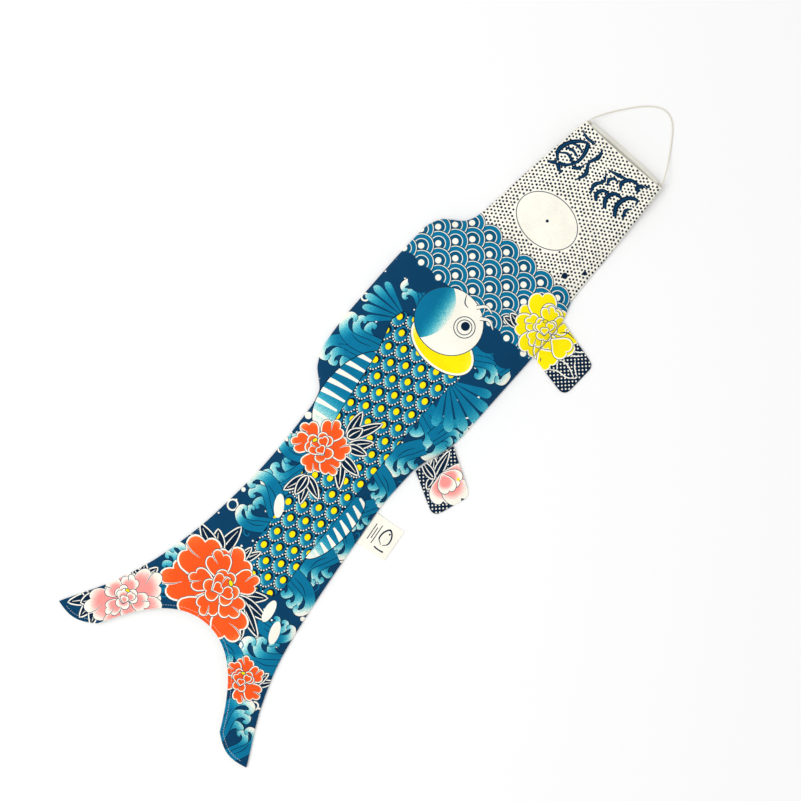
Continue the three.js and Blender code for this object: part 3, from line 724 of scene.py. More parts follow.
def draw_flowers(drawing):
    """Peonies in orange, pink and yellow, each among a spray of dark leaves."""
    leaves(drawing, (-634, 32), ((-670, 44), (-670, 14), (-648, 0), (-664, 28)), 12)
    leaves(drawing, (-556, 26), ((-516, 34), (-510, 2), (-534, 18)), 13)
    leaves(drawing, (-566, 18), ((-538, -6), (-557, -10)), 12)
    leaves(drawing, (-582, 16), ((-618, -13), (-586, -20)), 13)
    peony(drawing, (-592, 46), 38, "orange", turn=1.2, outer=6, seed=4, rim=1.9, fade=0.9)
    leaves(drawing, (-800, 52), ((-750, 54), (-774, 76), (-806, 100), (-786, 100)), 17)
    leaves(drawing, (-790, 24), ((-758, 10), (-762, 24)), 9)
    leaves(drawing, (-826, -6), ((-800, -40), (-824, -60), (-850, -66), (-866, -50)), 15)
    for x, y, turn in ((-692, 34, 0.6), (-830, -80, 0.4), (-812, -54, 0.2)):
        drawing.ink(oval(x, y, 17, 7, turn), "cloth")
    draw_petal(drawing, "orange", (-842, 24), 2.0, 74, 60, lobes=3, fade=1.12, rim=2.6)
    draw_petal(drawing, "orange", (-838, 26), 1.15, 74, 66, lobes=3, fade=1.12, rim=2.6)
    draw_petal(drawing, "orange", (-850, 18), 3.14, 52, 66, lobes=3, fade=1.5, rim=2.6)
    draw_petal(drawing, "orange", (-846, 12), 4.25, 62, 56, lobes=3, fade=1.12, rim=2.6)
    draw_petal(drawing, "orange", (-838, 18), 0.25, 64, 58, lobes=3, fade=1.12, rim=2.6)
    peony(drawing, (-832, 18), 46, "orange", turn=-0.55, outer=5, seed=8, rim=1.9, fade=1.0)
    leaves(drawing, (-958, 140), ((-992, 166), (-996, 140), (-994, 120), (-966, 168), (-980, 152)), 15)
    leaves(drawing, (-898, 108), ((-872, 104), (-880, 122), (-896, 130)), 12)
    peony(drawing, (-934, 106), 40, "pink", turn=0.2, outer=6, seed=2, rim=1.2, fade=0.5)
    for turn in (2.5, 3.6, -0.25, -1.35):
        draw_petal(drawing, "pink", (-934, 108), turn, 56, 44, lobes=3, fade=0.55, rim=1.2)
    peony(drawing, (-932, 110), 30, "pink", turn=0.3, outer=5, seed=9, rim=1.2, fade=0.5)
    leaves(drawing, (-906, -106), ((-884, -126), (-880, -112)), 9)
    peony(drawing, (-910, -90), 30, "orange", turn=0.4, outer=6, seed=5, rim=1.6, fade=1.0)
    leaves(drawing, (-278, -52), ((-284, -26), (-274, -30)), 12)
    for turn, long, wide in ((1.35, 42, 36), (0.75, 48, 42), (2.2, 40, 34), (3.3, 44, 40), (4.1, 50, 42),
                             (4.95, 56, 50), (5.7, 40, 36), (0.1, 34, 34)):
        draw_petal(drawing, "yellow", (-258, -76), turn, long, wide, lobes=2, fade=1.0, rim=2.0)
    peony(drawing, (-257, -80), 31, "yellow", turn=0.6, outer=5, seed=3, rim=1.9, fade=0.9)


def draw_fish():
    drawing = Drawing()
    draw_ground(drawing)
    draw_waves(drawing)
    draw_head_end(drawing)
    draw_scalloped_sea(drawing)
    draw_koi(drawing)
    draw_flowers(drawing)
    return drawing


# ---- printed cloth ----
# Plain-woven cotton, printed on one face: the ink lies in the yarns, so the colour is slightly mottled and
# the washes break up into grain. The bare side stays the colour of the cloth.
def weave(nodes, links, where, pitch):
    """Height of a plain weave: warp and weft passing over and under each other."""
    bands = []
    for direction in ("X", "Y"):
        band = nodes.new("ShaderNodeTexWave")
        band.bands_direction = direction
        band.inputs["Scale"].default_value = 0.314 / pitch
        band.inputs["Distortion"].default_value = 0.6
        band.inputs["Detail Scale"].default_value = 2
        links.new(where.outputs["Object"], band.inputs["Vector"])
        bands.append(band)
    over = nodes.new("ShaderNodeMath")
    over.operation = "SUBTRACT"
    links.new(bands[0].outputs["Fac"], over.inputs[0])
    links.new(bands[1].outputs["Fac"], over.inputs[1])
    return over.outputs["Value"]


def woven_cotton(name, printed, tint=(0.93, 0.92, 0.83)):
    material = bpy.data.materials.new(name)
    material.use_nodes = True
    nodes, links = material.node_tree.nodes, material.node_tree.links
    shader = nodes["Principled BSDF"]
    shader.inputs["Roughness"].default_value = 0.9
    shader.inputs["Specular IOR Level"].default_value = 0.06
    shader.inputs["Sheen Weight"].default_value = 0.03
    shader.inputs["Sheen Roughness"].default_value = 0.45
    where = nodes.new("ShaderNodeTexCoord")
    slub = nodes.new("ShaderNodeTexNoise")
    slub.inputs["Scale"].default_value = 620
    slub.inputs["Detail"].default_value = 3
    links.new(where.outputs["Object"], slub.inputs["Vector"])
    patch = nodes.new("ShaderNodeTexNoise")
    patch.inputs["Scale"].default_value = 26
    patch.inputs["Detail"].default_value = 5
    links.new(where.outputs["Object"], patch.inputs["Vector"])
    uneven = nodes.new("ShaderNodeMath")
    uneven.operation = "ADD"
    links.new(slub.outputs["Fac"], uneven.inputs[0])
    links.new(patch.outputs["Fac"], uneven.inputs[1])
    value = nodes.new("ShaderNodeMapRange")
    value.inputs["From Min"].default_value = 0.7
    value.inputs["From Max"].default_value = 1.3
    value.inputs["To Min"].default_value = 0.9
    value.inputs["To Max"].default_value = 1.08
    links.new(uneven.outputs["Value"], value.inputs["Value"])
    shade = nodes.new("ShaderNodeHueSaturation")
    links.new(value.outputs["Result"], shade.inputs["Value"])
    if printed:
        ink = nodes.new("ShaderNodeAttribute")
        ink.attribute_name = "print"
        grain = nodes.new("ShaderNodeMath")
        grain.operation = "SUBTRACT"
        grain.inputs[1].default_value = 0.5
        links.new(slub.outputs["Fac"], grain.inputs[0])
        soak = nodes.new("ShaderNodeMath")
        soak.operation = "MULTIPLY_ADD"
        soak.inputs[1].default_value = 0.42
        links.new(grain.outputs["Value"], soak.inputs[0])
        links.new(ink.outputs["Alpha"], soak.inputs[2])
        wash = nodes.new("ShaderNodeValToRGB")
        wash.color_ramp.interpolation = "EASE"
        wash.color_ramp.elements[0].position = 0.06
        wash.color_ramp.elements[1].position = 0.94
        links.new(soak.outputs["Value"], wash.inputs["Fac"])
        strength = nodes.new("ShaderNodeMath")
        strength.operation = "SUBTRACT"
        strength.inputs[0].default_value = 1
        links.new(wash.outputs["Color"], strength.inputs[1])
        thinned = nodes.new("ShaderNodeGamma")
        links.new(ink.outputs["Color"], thinned.inputs["Color"])
        links.new(strength.outputs["Value"], thinned.inputs["Gamma"])
        cloth = nodes.new("ShaderNodeMix")
        cloth.data_type = "RGBA"
        cloth.blend_type = "MULTIPLY"
        cloth.inputs["B"].default_value = (*inks["cloth"], 1)
        links.new(wash.outputs["Color"], cloth.inputs["Factor"])
        links.new(thinned.outputs["Color"], cloth.inputs["A"])
        links.new(cloth.outputs["Result"], shade.inputs["Color"])
    else:
        shade.inputs["Color"].default_value = (*tint, 1)
    links.new(shade.outputs["Color"], shader.inputs["Base Color"])
    bump = nodes.new("ShaderNodeBump")
    bump.inputs["Strength"].default_value = 0.35
    bump.inputs["Distance"].default_value = 0.00012
    links.new(weave(nodes, links, where, 0.0009), bump.inputs["Height"])
    links.new(bump.outputs["Normal"], shader.inputs["Normal"])
    return material


printed_cotton = woven_cotton("printed_cotton", printed=True)
plain_cotton = woven_cotton("plain_cotton", printed=False)


def span(a, b, step):
    a, b = np.asarray(a, float), np.asarray(b, float)
    count = max(1, round(np.linalg.norm(b - a) / step))
    return a + (b - a) * (np.arange(count) / count)[:, None]


def triangulate(outline, drawing, points, lines):
    """Cuts one flat panel along every inked edge. Gives its points, its triangles and each one's ink."""
    vertices = [*outline, *points]
    edges, faces = [], [list(range(len(outline)))]
    for line in lines:
        first = len(vertices)
        vertices += list(line)
        edges += [(first + k, first + k + 1) for k in range(len(line) - 1)]
    shapes = drawing.shapes if drawing else []
    for shape, _, _, _ in shapes:
        faces.append(list(range(len(vertices), len(vertices) + len(shape))))
        vertices += list(shape)
    flat, _, triangles, _, _, sources = delaunay_2d_cdt(
        [Vector(v) for v in vertices], edges, faces, 1, 0.0001, True)
    flat = np.array([(v.x, v.y) for v in flat])
    kept, ids = [], []
    for triangle, inside in zip(triangles, sources):
        if 0 not in inside:
            continue
        for shape in sorted(inside, reverse=True):
            mask = shapes[shape - 1][3] if shape else None
            if mask is None or mask + 1 in inside:
                break
        kept.append(triangle)
        ids.append(shape)
    return flat, np.array(kept), np.array(ids)


def inked(flat, triangles, ids, drawing, ground):
    """Each corner's ink, with how far it is washed out as the fourth value."""
    colours = np.zeros((len(triangles), 3, 4))
    corners = flat[triangles]
    for k in np.unique(ids):
        rows = ids == k
        ink, wash = (drawing.shapes[k - 1][1], drawing.shapes[k - 1][2]) if k else (inks[ground], None)
        colours[rows, :, :3] = ink
        if wash and wash[0] == "line":
            start, end = np.array(wash[1]), np.array(wash[2])
            amount = (corners[rows] - start) @ (end - start) / ((end - start) @ (end - start))
            colours[rows, :, 3] = np.clip(amount, 0, 1) * (wash[3] if len(wash) > 3 else 1)
        elif wash:
            away = np.linalg.norm(corners[rows] - wash[1], axis=2)
            amount = (away - wash[2]) / (wash[3] - wash[2])
            colours[rows, :, 3] = np.clip(amount, 0, 1) * (wash[4] if len(wash) > 4 else 1)
    return colours


def rim_loops(triangles):
    """The open edges of some triangles, chained into loops that run the way the triangles turn."""
    edges = {}
    for t in triangles:
        for a, b in ((t[0], t[1]), (t[1], t[2]), (t[2], t[0])):
            edges[(int(a), int(b))] = True
    after = {}
    for a, b in edges:
        if (b, a) not in edges:
            after.setdefault(a, []).append(b)
    loops = []
    while after:
        start = next(iter(after))
        loop, at = [start], after[start].pop()
        if not after[start]:
            del after[start]
        while at != start:
            loop.append(at)
            following = after[at].pop()
            if not after[at]:
                del after[at]
            at = following
        loops.append(loop)
    return loops


def cloth_shell(name, flat, triangles, colours, outer, inner, inside_points):
    """A closed shell of cloth: the printed face, the bare face, and the cut edge between them."""
    used, local = np.unique(triangles, return_inverse=True)
    triangles = local.reshape(-1, 3)
    flat = flat[used]
    face_up = outer(flat)[:, 2].mean() >= inner(flat)[:, 2].mean()
    loop = max(rim_loops(triangles), key=len)
    rim = flat[loop]
    low, high = rim.min(axis=0), rim.max(axis=0)
    near = inside_points[np.all((inside_points > low) & (inside_points < high), axis=1)]
    kept = [p for p in near if within(rim, *p) and np.min(np.hypot(*(rim - p).T)) > 1.0]
    back_flat, _, back, sources, _, inside = delaunay_2d_cdt(
        [Vector(p) for p in [*rim, *kept]], [], [list(range(len(rim)))], 1, 1e-7, True)
    back_flat = np.array([(v.x, v.y) for v in back_flat])
    back = np.array([t for t, of in zip(back, inside) if of])
    at_rim = {}
    for new, old in enumerate(sources):
        for k in old:
            if k < len(rim):
                at_rim[k] = new
    n = len(flat)
    positions = np.vstack([outer(flat), inner(back_flat)])
    front = triangles if face_up else triangles[:, ::-1]
    reverse = (back[:, ::-1] if face_up else back) + n
    walls = []
    for k in range(len(loop)):
        j = (k + 1) % len(loop)
        a, b, c, d = loop[k], loop[j], at_rim[j] + n, at_rim[k] + n
        walls += [(b, a, d), (b, d, c)] if face_up else [(a, b, d), (b, c, d)]
    walls = np.array(walls)
    faces = np.vstack([front, reverse, walls])
    mesh = bpy.data.meshes.new(name)
    mesh.from_pydata(positions.tolist(), [], faces.tolist())
    corner_inks = np.zeros((len(faces), 3, 4))
    corner_inks[:, :, :3] = inks["cloth"]
    corner_inks[:len(front)] = colours if face_up else colours[:, ::-1]
    edge_ink = {}
    for triangle, ink in zip(triangles, colours):
        for vertex, colour in zip(triangle, ink):
            edge_ink[int(vertex)] = colour
    for k, wall in enumerate(walls):
        corner_inks[len(front) + len(reverse) + k] = edge_ink[loop[k // 2]]
    attribute = mesh.attributes.new("print", "FLOAT_COLOR", "CORNER")
    attribute.data.foreach_set("color", corner_inks.astype(np.float32).ravel())
    mesh.materials.append(printed_cotton)
    mesh.materials.append(plain_cotton)
    slots = np.zeros(len(faces), dtype=np.int32)
    slots[len(front):len(front) + len(reverse)] = 1
    mesh.polygons.foreach_set("material_index", slots)
    mesh.polygons.foreach_set("use_smooth", np.ones(len(faces), dtype=bool))

    def normals(place, points, sign):
        e = 0.4
        across = place(points + (e, 0)) - place(points - (e, 0))
        along = place(points + (0, e)) - place(points - (0, e))
        normal = np.cross(across, along)
        return sign * normal / np.linalg.norm(normal, axis=1)[:, None]

    up = 1 if face_up else -1
    by_vertex = np.vstack([normals(outer, flat, up), normals(inner, back_flat, -up)])
    by_corner = by_vertex[faces]
    a, b, c = (positions[walls[:, k]] for k in range(3))
    flat_wall = np.cross(b - a, c - a)
    flat_wall /= np.linalg.norm(flat_wall, axis=1)[:, None] + 1e-12
    by_corner[len(front) + len(reverse):] = flat_wall[:, None, :]
    mesh.normals_split_custom_set(by_corner.reshape(-1, 3).tolist())
    piece = bpy.data.objects.new(name, mesh)
    bpy.context.collection.objects.link(piece)
    return piece


# ---- body panels ----
# Front and back of the fish, each one cut of the printed cotton from mouth to tail. Each is made here in
# six stretches that meet edge to edge, cut across the fish and along the middle of the tail.
def tail_edge(steps=24):
    """The fork's half from its middle to the lobe's inner corner, then the blunt end up to the tip."""
    t = np.linspace(0, 1, steps)[:, None]
    a, b, c, d = (np.array(p) for p in ((-884, 0), (-884, 48.3), (-922.8, 82.8), (-986, 115)))
    fork = (1 - t) ** 3 * a + 3 * (1 - t) ** 2 * t * b + 3 * (1 - t) * t * t * c + t**3 * d
    v = np.linspace(0, 1, 18)[:, None]
    chord = tail_tip - lobe_inner
    away = np.array((-chord[1], chord[0])) / np.linalg.norm(chord)
    end = lobe_inner + v * chord + 9 * np.sin(math.pi * v) * away
    return np.vstack([fork, end[1:]])


stations = np.linspace(0, -1000, 331)
upper_line = np.column_stack([stations, top_edge(stations)])
lower_line = np.column_stack([stations, bottom_edge(stations)])
tail_line = tail_edge()
fish_outline = np.vstack([
    upper_line, tail_line[::-1][1:], (tail_line * (1, -1))[1:-1], lower_line[::-1],
    span((0, -71), (0, 71), 4)[1:],
])

grid = 6.5
rows = []
for j, y in enumerate(np.arange(-176, 176, grid * 0.866)):
    rows.append(np.column_stack([np.arange(-1002, 0, grid) + (grid / 2 if j % 2 else 0), np.full(155, y)]))
grid_points = np.vstack(rows)
distance = seam_distance(grid_points[:, 0], grid_points[:, 1])
keep = np.array([within(fish_outline, *p) for p in grid_points]) & (distance > 19)
grid_points = grid_points[keep]
side_rows = []
for inset in (0.9, 2.4, 4.6, 7.6, 11.5, 16):
    for line, curve, side in ((upper_line, top_edge, -1), (lower_line, bottom_edge, 1)):
        x = np.arange(-1, -975, -4.2 if inset < 8 else -5.5) - (inset % 3)
        side_rows.append(np.column_stack([x, curve(x) + side * inset]))
mouth_rows = [np.column_stack([np.full(34, x), np.linspace(-66, 66, 34)]) for x in (-2.5, -6, -10)]
row_points = np.vstack(side_rows + mouth_rows)
row_points = row_points[[within(fish_outline, *p) for p in row_points]]
cloth_points = np.vstack([grid_points, row_points])
stretch_ends = (-300, -490, -685, -830)
cuts = [span((x, -200), (x, 200), 5) for x in stretch_ends] + [span((-830, 0), (-884, 0), 5)]

fish_drawing = draw_fish()
fish_flat, fish_triangles, fish_ids = triangulate(fish_outline, fish_drawing, cloth_points, cuts)
fish_inks = inked(fish_flat, fish_triangles, fish_ids, fish_drawing, "ground")
middles = fish_flat[fish_triangles].mean(axis=1)
thick = 0.45


def front_inner(flat):
    return on_front(flat) - (0, 0, thick * MM)


def back_inner(flat):
    return on_back(flat) + (0, 0, thick * MM)


def edge_of(joint_x, reach):
    """Where a stretch begins and ends its bend about a joint across the fish."""
    return (mouth_x + (joint_x + reach) * MM, 0, 0), (mouth_x + (joint_x - reach) * MM, 0, 0)


lobe_turn = np.array((-0.63899, 0.76921, 0))


def lobe_bend(side):
    middle = np.array((-0.38065, 0.0861 * side, 0))
    across = lobe_turn * (1, side, 1) * 0.013
    return tuple(middle - across), tuple(middle + across)


x, y = middles.T
stretches = (
    ("head", x > -300, "head", "fore", edge_of(-205, 16), ("head",)),
    ("fore", (x <= -300) & (x > -490), "fore", "mid", edge_of(-400, 18), ("fore",)),
    ("mid", (x <= -490) & (x > -685), "mid", "rear", edge_of(-580, 18), ("mid",)),
    ("rear", (x <= -685) & (x > -830), "rear", "tail", edge_of(-790, 18), ("rear",)),
    ("top_lobe", (x <= -830) & (y > 0), "tail", "top_lobe", lobe_bend(1), ("top_lobe", "tail")),
    ("bottom_lobe", (x <= -830) & (y <= 0), "tail", "bottom_lobe", lobe_bend(-1), ("bottom_lobe",)),
)
for word, rows, before, after, bend, stands_for in stretches:
    triangles, colours = fish_triangles[rows], fish_inks[rows]
    for side, outer, inner in (("front", on_front, front_inner), ("back", on_back, back_inner)):
        piece = cloth_shell(f"{word}_{side}_cloth", fish_flat, triangles, colours, outer, inner, cloth_points)
        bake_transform(piece)
        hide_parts(*[f"{name}_{side}_panel" for name in stands_for])


# ---- fins ----
# Two small fins hang from the belly seam. Each is two layers of the printed cotton sewn on three sides,
# turned out and caught by their open edge in the seam, so they hold a little air too.
def rounded(corners, radii, steps=5):
    """An outline with its corners turned by arcs."""
    corners = [np.array(c, float) for c in corners]
    line = []
    for k, (corner, radius) in enumerate(zip(corners, radii)):
        before, after = corners[k - 1] - corner, corners[(k + 1) % len(corners)] - corner
        start = corner + before / np.linalg.norm(before) * radius
        end = corner + after / np.linalg.norm(after) * radius
        if radius == 0:
            line.append(corner)
            continue
        t = np.linspace(0, 1, steps + 1)[:, None]
        line += list((1 - t) ** 2 * start + 2 * (1 - t) * t * corner + t * t * end)
    return np.array(line)


class Flap:
    """A flat piece sewn to the belly seam: along is tailward, out is away from the body."""

    def __init__(self, joint, along):
        anchor = next(j for j in frame["joints"] if j["name"] == joint)["pos_m"]
        self.origin = (np.array(anchor[:2]) - (mouth_x, 0)) / MM
        self.along = np.array(along)
        self.out = np.array((-along[1], along[0]))

    def place(self, points):
        points = np.asarray(points, float)
        return self.origin + points[:, :1] * self.along + points[:, 1:] * self.out

    def reach(self, flat):
        return (flat - self.origin) @ self.out

    def bend(self, width, near=-1.0, far=11.0):
        middle = self.origin + self.along * width / 2
        ends = (middle + self.out * near, middle + self.out * far)
        return [(mouth_x + x * MM, y * MM, 0.001) for x, y in ends]


def outline_distance(outline, flat):
    a, b = outline, np.roll(outline, -1, axis=0)
    best = np.full(len(flat), 1e9)
    for p, q in zip(a, b):
        t = np.clip(((flat - p) @ (q - p)) / ((q - p) @ (q - p)), 0, 1)[:, None]
        best = np.minimum(best, np.linalg.norm(flat - p - t * (q - p), axis=1))
    return best


def lattice(outline, step):
    low, high = outline.min(axis=0), outline.max(axis=0)
    points = [(x + (step / 2 if j % 2 else 0), y)
              for j, y in enumerate(np.arange(low[1], high[1], step * 0.866))
              for x in np.arange(low[0], high[0], step)]
    inside = np.array([p for p in points if within(outline, *p)])
    return inside[outline_distance(outline, inside) > step * 0.3]


fin_shape = rounded([(0, 0), (64, 0), (80, 68), (20, 72)], (0, 0, 15, 9))
fin_sides = fin_shape[1:]


def dense(outline, step=2.5):
    return np.vstack([span(p, q, step) for p, q in zip(outline, np.roll(outline, -1, axis=0))])


def dotted_night(drawing, outline, pitch=7.2):
    low, high = outline.min(axis=0), outline.max(axis=0)
    for j, y in enumerate(np.arange(low[1], high[1], pitch / 2)):
        for x in np.arange(low[0], high[0], pitch):
            x += pitch / 2 if j % 2 else 0
            if within(outline, x, y):
                drawing.ink(oval(x, y, 1.25, steps=7), "cloth")


def pectoral_print(drawing, outline):
    dotted_night(drawing, outline)
    for points in ([(-300, -118), (-290, -132), (-288, -148), (-280, -160)],
                   [(-276, -122), (-274, -138), (-282, -158)],
                   [(-290, -132), (-282, -126), (-276, -124)], [(-256, -126), (-250, -138), (-242, -146)],
                   [(-262, -142), (-270, -148), (-278, -160)], [(-262, -120), (-260, -134), (-250, -146)]):
        drawing.ink(stroke(points, (0.6, 1.7, 1.7, 0.6)), "cloth")
    draw_flowers(drawing)
    for at, turn in (((-284, -92), 4.5), ((-262, -96), 4.75)):
        draw_petal(drawing, "yellow", at, turn, 32, 34, lobes=2, fade=1.1, rim=2.0)
    line_work(drawing, [(-247, -100), (-240, -108), (-240, -120)], 1.6)
    line_work(drawing, [(-296, -106), (-291, -103)], 1.3)


def pelvic_print(drawing, outline):
    dotted_night(drawing, outline)
    leaves(drawing, (-519, -104), ((-497, -84), (-476, -94), (-540, -118), (-536, -106), (-512, -74)), 11)
    bud = (-506, -106)
    petals = ((-2.35, 44, 38), (-1.05, 42, 40), (-1.75, 50, 40), (-1.25, 30, 26), (-2.0, 30, 26))
    for turn, long, wide in petals:
        draw_petal(drawing, "pink", bud, turn, long, wide, lobes=2, fade=0.46, rim=1.4)
    drawing.ink(oval(-497, -130, 2.6, 2.0, 0.6), "yellow")


def fin_surfaces(flap, outline_without_root):
    def parts(flat):
        reach = np.clip(flap.reach(flat), 0, None)
        root = 1 - smooth_step(reach / 15)
        edge = np.clip(outline_distance(outline_without_root, flat), 0, 18) / 18
        puff = (1 - (1 - edge) ** 2) ** 0.6
        ripple = 0.35 * np.sin(flat[:, 0] / 7.5 + 1.1) * np.sin(flat[:, 1] / 9.5) * puff * (1 - root)
        return 1.0 + 1.4 * root, puff, ripple

    def lift(flat, height):
        return np.column_stack([flat, height]) * MM + (mouth_x, 0, 0)

    def front(flat):
        base, puff, ripple = parts(flat)
        return lift(flat, base + 0.55 + 1.7 * puff + ripple)

    def back(flat):
        base, puff, _ = parts(flat)
        return lift(flat, base - 0.55 - 0.4 * puff * (base < 1.2))

    def front_inside(flat):
        return front(flat) - (0, 0, thick * MM)

    def back_inside(flat):
        return back(flat) + (0, 0, thick * MM)

    return front, front_inside, back, back_inside


def make_fin(word, joint, along, draw):
    flap = Flap(joint, along)
    outline = dense(flap.place(fin_shape))
    if np.sum(outline[:, 0] * np.roll(outline[:, 1], -1) - outline[:, 1] * np.roll(outline[:, 0], -1)) < 0:
        outline = outline[::-1]
    points = lattice(outline, 3.4)
    drawing = Drawing()
    draw(drawing, outline)
    low, high = outline.min(axis=0), outline.max(axis=0)
    drawing.shapes = [s if np.all((s[0].max(axis=0) > low) & (s[0].min(axis=0) < high)) else (
        np.array([(0, 0), (0.1, 0), (0, 0.1)]) + 500, s[1], None, None) for s in drawing.shapes]
    flat, triangles, ids = triangulate(outline, drawing, points, [])
    colours = inked(flat, triangles, ids, drawing, "night")
    sides = flap.place(fin_sides)
    sides = np.vstack([sides, sides[::-1][1:-1]])
    front, front_in, back, back_in = fin_surfaces(flap, sides)
    for side, outer, inner in (("front", front, front_in), ("back", back, back_in)):
        piece = cloth_shell(f"{word}_fin_{side}_cloth", flat, triangles, colours, outer, inner, points)
        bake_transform(piece)
        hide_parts(f"{word}_fin_{side}")


make_fin("pectoral", "pectoral_fin_flap", (-0.99942, -0.03404), pectoral_print)
make_fin("pelvic", "pelvic_fin_flap", (-0.96767, 0.25220), pelvic_print)


# ---- side label ----
# A folded woven tape caught in the belly seam, printed with a small plain fish and ruled lines.
label_tape = woven_cotton("label_tape_weave", printed=True)
label_flap = Flap("label_flap", (-0.99227, -0.12407))
label_outline = dense(label_flap.place([(0, 0), (50, 0), (50, 46), (0, 46)]), 3)
label_drawing = Drawing()
fish_mark = smooth_line([
    (8, 29), (16, 37), (28, 38), (35, 31.5), (42, 38), (42, 22), (35, 28.5), (28, 21), (16, 22),
], 5, closed=True)
label_drawing.ink(label_flap.place(fish_mark), "night")
label_drawing.ink(label_flap.place(np.mean(fish_mark, axis=0) + (fish_mark - np.mean(fish_mark, axis=0))
                                   * (0.86, 0.76)), "cloth")
label_drawing.ink(oval(*label_flap.place([(15, 31.5)])[0], 1.4), "night")
for y, wide in ((8, 26), (12, 18), (16, 30)):
    rule = stroke([(25 - wide / 2, y), (25, y), (25 + wide / 2, y)], (1.3, 1.3))
    label_drawing.ink(label_flap.place(rule), "night")
label_points = lattice(label_outline, 4.5)


def label_face(height):
    def place(flat):
        reach = np.clip(label_flap.reach(flat), 0, None)
        along = (flat - label_flap.origin) @ label_flap.along
        curl = 0.5 * smooth_step(reach / 30) * np.sin(along / 13)
        rise_to_seam = 1.2 * (1 - smooth_step(reach / 14))
        return np.column_stack([flat, height + curl * (height > 1) + rise_to_seam]) * MM + (mouth_x, 0, 0)
    return place


flat, triangles, ids = triangulate(label_outline, label_drawing, label_points, [])
colours = inked(flat, triangles, ids, label_drawing, "cloth")
label = cloth_shell(
    "side_label_tape", flat, triangles, colours, label_face(1.3), label_face(0.25), label_points,
)
label.data.materials[0] = label_tape
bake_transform(label)
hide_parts("side_label")


# ---- seam allowances ----
# Inside, along every seam, the two raw edges lie together and are overlocked with a thin cotton thread.
def strip(bm, upper, lower):
    """A closed band between two rows of edge pairs, upper and lower, given as (outer, inner) lines."""
    rings = []
    for a, b, c, d in zip(upper[0], upper[1], lower[1], lower[0]):
        rings.append([bm.verts.new(p) for p in (a, b, c, d)])
    for p, q in zip(rings, rings[1:]):
        for k in range(4):
            bm.faces.new((p[k], p[(k + 1) % 4], q[(k + 1) % 4], q[k]))
    bm.faces.new(rings[0][::-1])
    bm.faces.new(rings[-1])
    bmesh.ops.recalc_face_normals(bm, faces=bm.faces)


overlock_cotton = cotton_thread("overlock_thread", (0.88, 0.87, 0.8), strand=0.0003)


def allowance(node, body, curve, side, width, clear):
    low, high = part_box(node)
    x = np.arange((high.x - mouth_x) / MM - clear, (low.x - mouth_x) / MM, -5.0)
    outer = curve(x) - side * 0.6
    inner = curve(x) - side * width
    height = seam_height(x)

    def row(y, z):
        return np.column_stack([x, y, z]) * MM + (mouth_x, 0, 0)

    bm = bmesh.new()
    strip(bm, (row(outer, height + 0.12), row(inner, height + 0.4)),
          (row(outer, height - 0.12), row(inner, height - 0.4)))
    x = np.arange(x[0] - 1, x[-1] + 1, -1.6)
    k = np.arange(len(x))
    inset = np.where(k % 2, width + 0.3, width - 2.6)
    lift = np.where(k % 4 < 2, 0.62, -0.62)
    thread = np.column_stack([x, curve(x) - side * inset, seam_height(x) + lift]) * MM + (mouth_x, 0, 0)
    with_thread = bmesh.new()
    sweep(with_thread, thread, 0.2 * MM, sides=4)
    spare = bpy.data.meshes.new("thread")
    with_thread.to_mesh(spare)
    with_thread.free()
    first = len(bm.faces)
    bm.from_mesh(spare)
    bm.faces.ensure_lookup_table()
    for face in bm.faces[first:]:
        face.material_index = 1
    bpy.data.meshes.remove(spare)
    piece = new_piece(f"{node}_overlocked", bm, plain_cotton, overlock_cotton)
    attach(piece, body)
    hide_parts(node)


for node, body, curve, side, width in (
    ("head_top_seam", "head", top_edge, 1, 6.5), ("fore_top_seam", "fore", top_edge, 1, 6.5),
    ("mid_top_seam", "mid", top_edge, 1, 6.5), ("rear_top_seam", "rear", top_edge, 1, 6.5),
    ("tail_top_seam", "tail", top_edge, 1, 6.5), ("top_lobe_seam", "top_lobe", top_edge, 1, 6.5),
    ("head_bottom_seam", "head", bottom_edge, -1, 6.5), ("neck_bottom_seam", "fore", bottom_edge, -1, 6.5),
    ("fore_bottom_seam", "fore", bottom_edge, -1, 6.5), ("mid_bottom_seam", "mid", bottom_edge, -1, 6.5),
    ("waist_bottom_seam", "mid", bottom_edge, -1, 6.5), ("rear_bottom_seam", "rear", bottom_edge, -1, 6.5),
    ("peduncle_bottom_seam", "rear", bottom_edge, -1, 6.5), ("tail_bottom_seam", "tail", bottom_edge, -1, 6.5),
    ("bottom_lobe_seam", "bottom_lobe", bottom_edge, -1, 6.5),
    ("pectoral_fin_root", "fore", bottom_edge, -1, 8.5),
    ("pelvic_fin_root", "mid", bottom_edge, -1, 8.5), ("side_label_root", "rear", bottom_edge, -1, 8.5),
):
    allowance(node, body, curve, side, width, 0.5)


# ---- tail hems and stitching ----
# The open tail edge is turned in once and topstitched on both panels in pale thread; so is the mouth.
def hem(name, side, face, replaced):
    line = tail_line[:-4] * (1, side)
    tangent = np.gradient(line, axis=0)
    tangent /= np.linalg.norm(tangent, axis=1)[:, None]
    inward = np.column_stack([tangent[:, 1], -tangent[:, 0]]) * side
    inward = np.where((np.sum(inward * (1, 0), axis=1) < 0)[:, None], -inward, inward)
    rows = [line + inward * depth for depth in (0.4, 5.8)]
    if face == "front":
        heights = [(on_front(row) - (0, 0, 0.5 * MM), on_front(row) - (0, 0, 1.0 * MM)) for row in rows]
    else:
        heights = [(on_back(row) + (0, 0, 1.0 * MM), on_back(row) + (0, 0, 0.5 * MM)) for row in rows]
    bm = bmesh.new()
    strip(bm, (heights[0][0], heights[1][0]), (heights[0][1], heights[1][1]))
    piece = new_piece(name, bm, plain_cotton)
    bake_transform(piece)
    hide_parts(*replaced)


